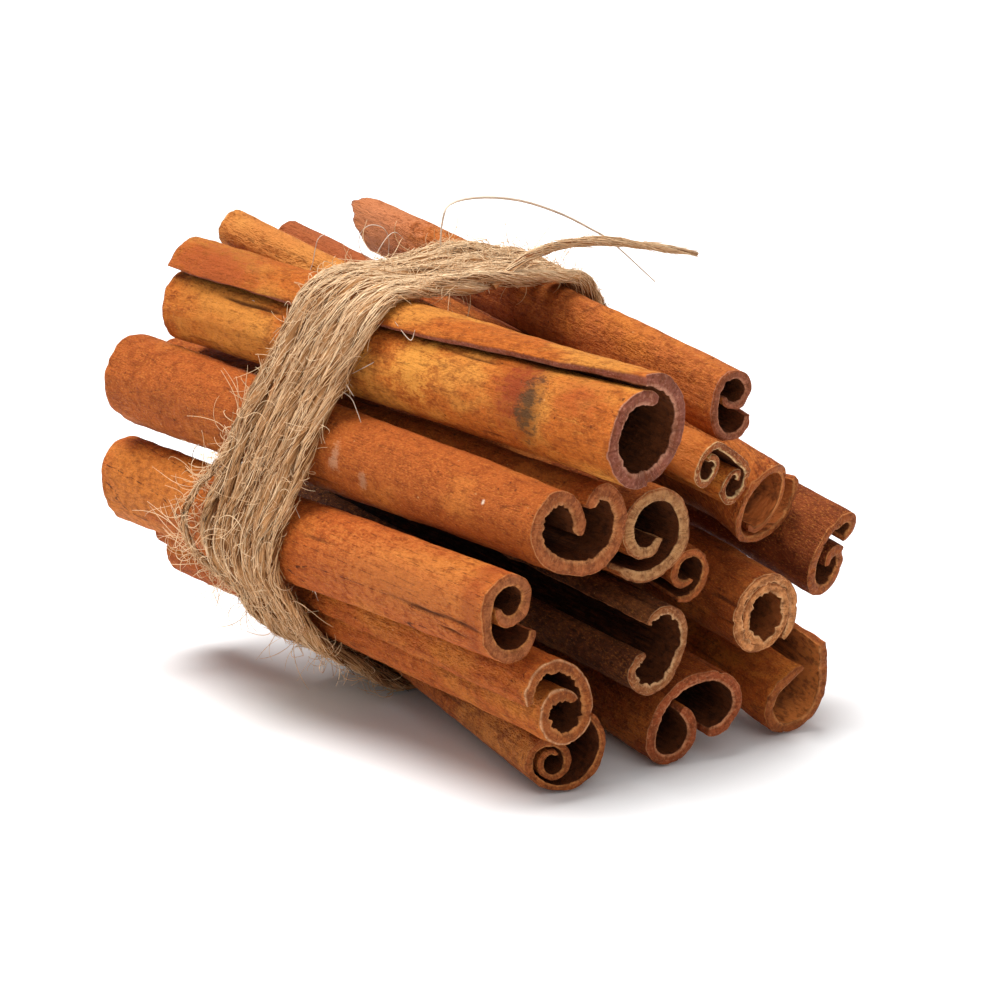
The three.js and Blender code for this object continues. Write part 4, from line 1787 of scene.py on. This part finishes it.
STRAYS = (
    Stray(
        ((-7.0, -4.0, 54.5), (-6.5, -4.1, 60.0), (-6.3, -2.9, 62.4), (-7.2, 2.5, 62.5), (-8.2, 9.8, 61.1),
         (-8.1, 16.2, 58.7), (-7.3, 20.6, 56.3), (-6.5, 23.7, 54.2), (-5.8, 30.5, 48.2)),
        0.2, 0.8,
    ),
    Stray(
        ((-13.0, -7.7, 55.1), (-12.5, -7.9, 57.6), (-12.3, -8.9, 59.2), (-12.8, -10.4, 59.7),
         (-13.5, -11.3, 59.0), (-14.1, -11.4, 57.6), (-14.2, -10.9, 56.0), (-13.8, -9.7, 54.9)),
    ),
    Stray(
        ((-34.4, -28.6, 32.4), (-33.8, -28.5, 33.5), (-29.8, -29.8, 37.7), (-28.1, -29.1, 39.9),
         (-25.7, -28.4, 40.6), (-23.4, -28.3, 40.6)),
        0.1,
    ),
    Stray(((-22.1, -28.7, 39.3), (-21.0, -29.0, 38.0), (-21.9, -28.9, 34.8), (-23.5, -28.9, 31.6)), 0.08),
    Stray(((-27.0, -28.6, 28.9), (-26.5, -28.4, 31.0), (-21.0, -29.5, 34.2), (-19.8, -29.0, 38.2)), 0.08),
    Stray(((-22.4, -23.5, 50.0), (-21.0, -23.7, 49.0), (-18.5, -23.0, 49.9), (-17.8, -21.9, 50.9)), 0.13),
    Stray(((-21.5, -23.0, 49.6), (-19.9, -23.6, 50.6), (-18.9, -23.0, 49.4)), 0.1),
    Stray(
        ((-3.6, -26.5, 44.0), (-0.9, -26.0, 43.6), (2.6, -25.4, 42.9), (4.2, -25.4, 41.3), (5.4, -25.2, 38.8))
    ),
    Stray(((1.2, -26.0, 43.4), (2.7, -26.0, 44.4), (4.4, -26.0, 43.3))),
    Stray(((1.9, -24.4, 45.4), (5.2, -22.6, 47.6), (6.9, -19.3, 49.7))),
    Stray(((6.1, -21.0, 52.1), (9.1, -21.0, 50.4), (10.1, -21.0, 51.8))),
    Stray(((-0.4, -31.6, 29.6), (2.0, -31.4, 25.8), (2.0, -31.2, 21.8), (0.4, -29.6, 18.4)), 0.06),
    Stray(((-3.4, -26.0, 15.6), (1.2, -31.4, 22.6), (-1.6, -27.6, 17.2)), 0.05),
    Stray(((-18.0, -17.0, 52.3), (-16.4, -17.0, 54.9), (-15.1, -17.0, 58.3), (-12.5, -17.0, 59.7))),
    Stray(((-12.0, -10.9, 55.2), (-12.0, -8.9, 57.7), (-12.0, -7.3, 58.5), (-12.0, -5.7, 57.3))),
)
STRAY_FINISH = JuteFinish(srgb(226, 206, 186), srgb(190, 164, 140), srgb(120, 94, 74))


def place_strays() -> None:
    """Make the long loose fibres."""
    stock = FibreStock(28)
    share = np.linspace(0, 1, stock.stages + 1)
    lines = np.array([[eased_line(share, column) for column in zip(*stray.route)] for stray in STRAYS])
    radius, tone = np.array([(stray.radius, stray.tone) for stray in STRAYS]).T
    strays = stock.spread("twine_strays", lines.swapaxes(1, 2), radius, tone)
    dress(strays, STRAY_FINISH.material("jute_strays"))


def eased_line(share: np.ndarray, values: Sequence[float]) -> np.ndarray:
    """Read evenly spaced values of a curve that keeps its way at each of them.

    Args:
        share: Where to read them, from 0 to 1.
        values: The values.

    Returns:
        The value at each place.
    """
    row = np.array(values, dtype=float)
    slope = np.gradient(row)
    place = share * (len(row) - 1)
    low = np.clip(np.floor(place).astype(int), 0, len(row) - 2)
    part = place - low
    square, cube = part**2, part**3
    start, end = row[low], row[low + 1]
    bends = (cube - 2 * square + part) * slope[low] + (cube - square) * slope[low + 1]
    return (2 * cube - 3 * square + 1) * start + (3 * square - 2 * cube) * end + bends


@dataclass
class Studio:
    """The floor, the lights and the camera.

    Attributes:
        azimuth: The camera's angle round the bundle, in degrees.
        elevation: Its angle above the floor.
        distance: Its distance from its target.
        target: What it looks at.
        lens: Its focal length.
        sensor: The width of its sensor.
        finish: The looks of the floor.
    """

    azimuth: float = 51.586
    elevation: float = 15.221
    distance: float = 505.19
    target: tuple[float, float, float] = (0.0, 0.0, 25.0)
    lens: float = 143.68
    sensor: float = 36.0
    finish: FloorFinish = FloorFinish()

    def frame(self) -> tuple[np.ndarray, np.ndarray, np.ndarray]:
        """The camera's right, up and back."""
        turn, tilt = math.radians(self.azimuth), math.radians(self.elevation)
        right = np.array([math.cos(turn), math.sin(turn), 0])
        back = np.array([math.sin(turn) * math.cos(tilt), -math.cos(turn) * math.cos(tilt), math.sin(tilt)])
        return right, np.cross(back, right), back

    def add_camera(self) -> None:
        """Place the camera."""
        right, up, back = self.frame()
        data = bpy.data.cameras.new("camera")
        data.sensor_width = self.sensor
        data.lens = self.lens
        data.clip_start, data.clip_end = 0.01, 20
        camera = bpy.data.objects.new("camera", data)
        bpy.context.scene.collection.objects.link(camera)
        place = (np.array(self.target) + SHIFT + back * self.distance) * MM
        turned = Matrix([(*row,) for row in np.stack([right, up, back], axis=1)]).to_4x4()
        camera.matrix_world = Matrix.Translation(Vector(place)) @ turned
        bpy.context.scene.camera = camera

    def add_lamp(self, name: str, way: tuple[float, float, float], wide: float, strength: float) -> None:
        """Hang a wide, soft, far lamp.

        Args:
            name: Its name.
            way: The way to it, as parts of the camera's right, up and back.
            wide: How wide it looks from the bundle, in degrees.
            strength: Its strength.
        """
        right, up, back = self.frame()
        direction = right * way[0] + up * way[1] + back * way[2]
        direction /= np.linalg.norm(direction)
        data = bpy.data.lights.new(name, "SUN")
        data.angle = math.radians(wide)
        data.energy = strength
        lamp = bpy.data.objects.new(name, data)
        bpy.context.scene.collection.objects.link(lamp)
        lamp.rotation_euler = Vector(direction).to_track_quat("Z", "Y").to_euler()

    def build(self) -> None:
        """Make the floor and the lights."""
        clear_selection()
        bpy.ops.mesh.primitive_grid_add(x_subdivisions=4, y_subdivisions=4, size=30, location=(0, 0, -0.0002))
        floor = bpy.context.object
        floor.name = "floor"
        bpy.ops.object.transform_apply(location=True)
        floor.data.materials.append(self.finish.material("floor_paint"))
        self.add_lamp("key", (-0.35, 1.42, 0.3), 42, 4.5)
        self.add_lamp("front", (0.3, 0.35, 1.0), 50, 0.8)
        world = bpy.data.worlds.new("studio")
        bpy.context.scene.world = world
        world.use_nodes = True
        sky = world.node_tree.nodes["Background"]
        sky.inputs["Color"].default_value = (1, 1, 1, 1)
        sky.inputs["Strength"].default_value = 0.36
        bpy.context.scene.view_settings.view_transform = "Standard"


def main() -> None:
    """Build the scene piece by piece."""
    logging.basicConfig(level=logging.INFO, format="%(message)s", stream=sys.stdout)
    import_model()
    studio = Studio()
    studio.add_camera()
    band = Band()
    FreeEnd(leaves=tuple(band.route()[-1])).build()
    band.build()
    place_strays()
    for quill in QUILLS:
        bark = quill.build()
        dress(bark, quill.finish.material(f"bark_{quill.number + 1:02d}"))
        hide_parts(quill.node)
    studio.build()


if __name__ == "__main__":
    main()
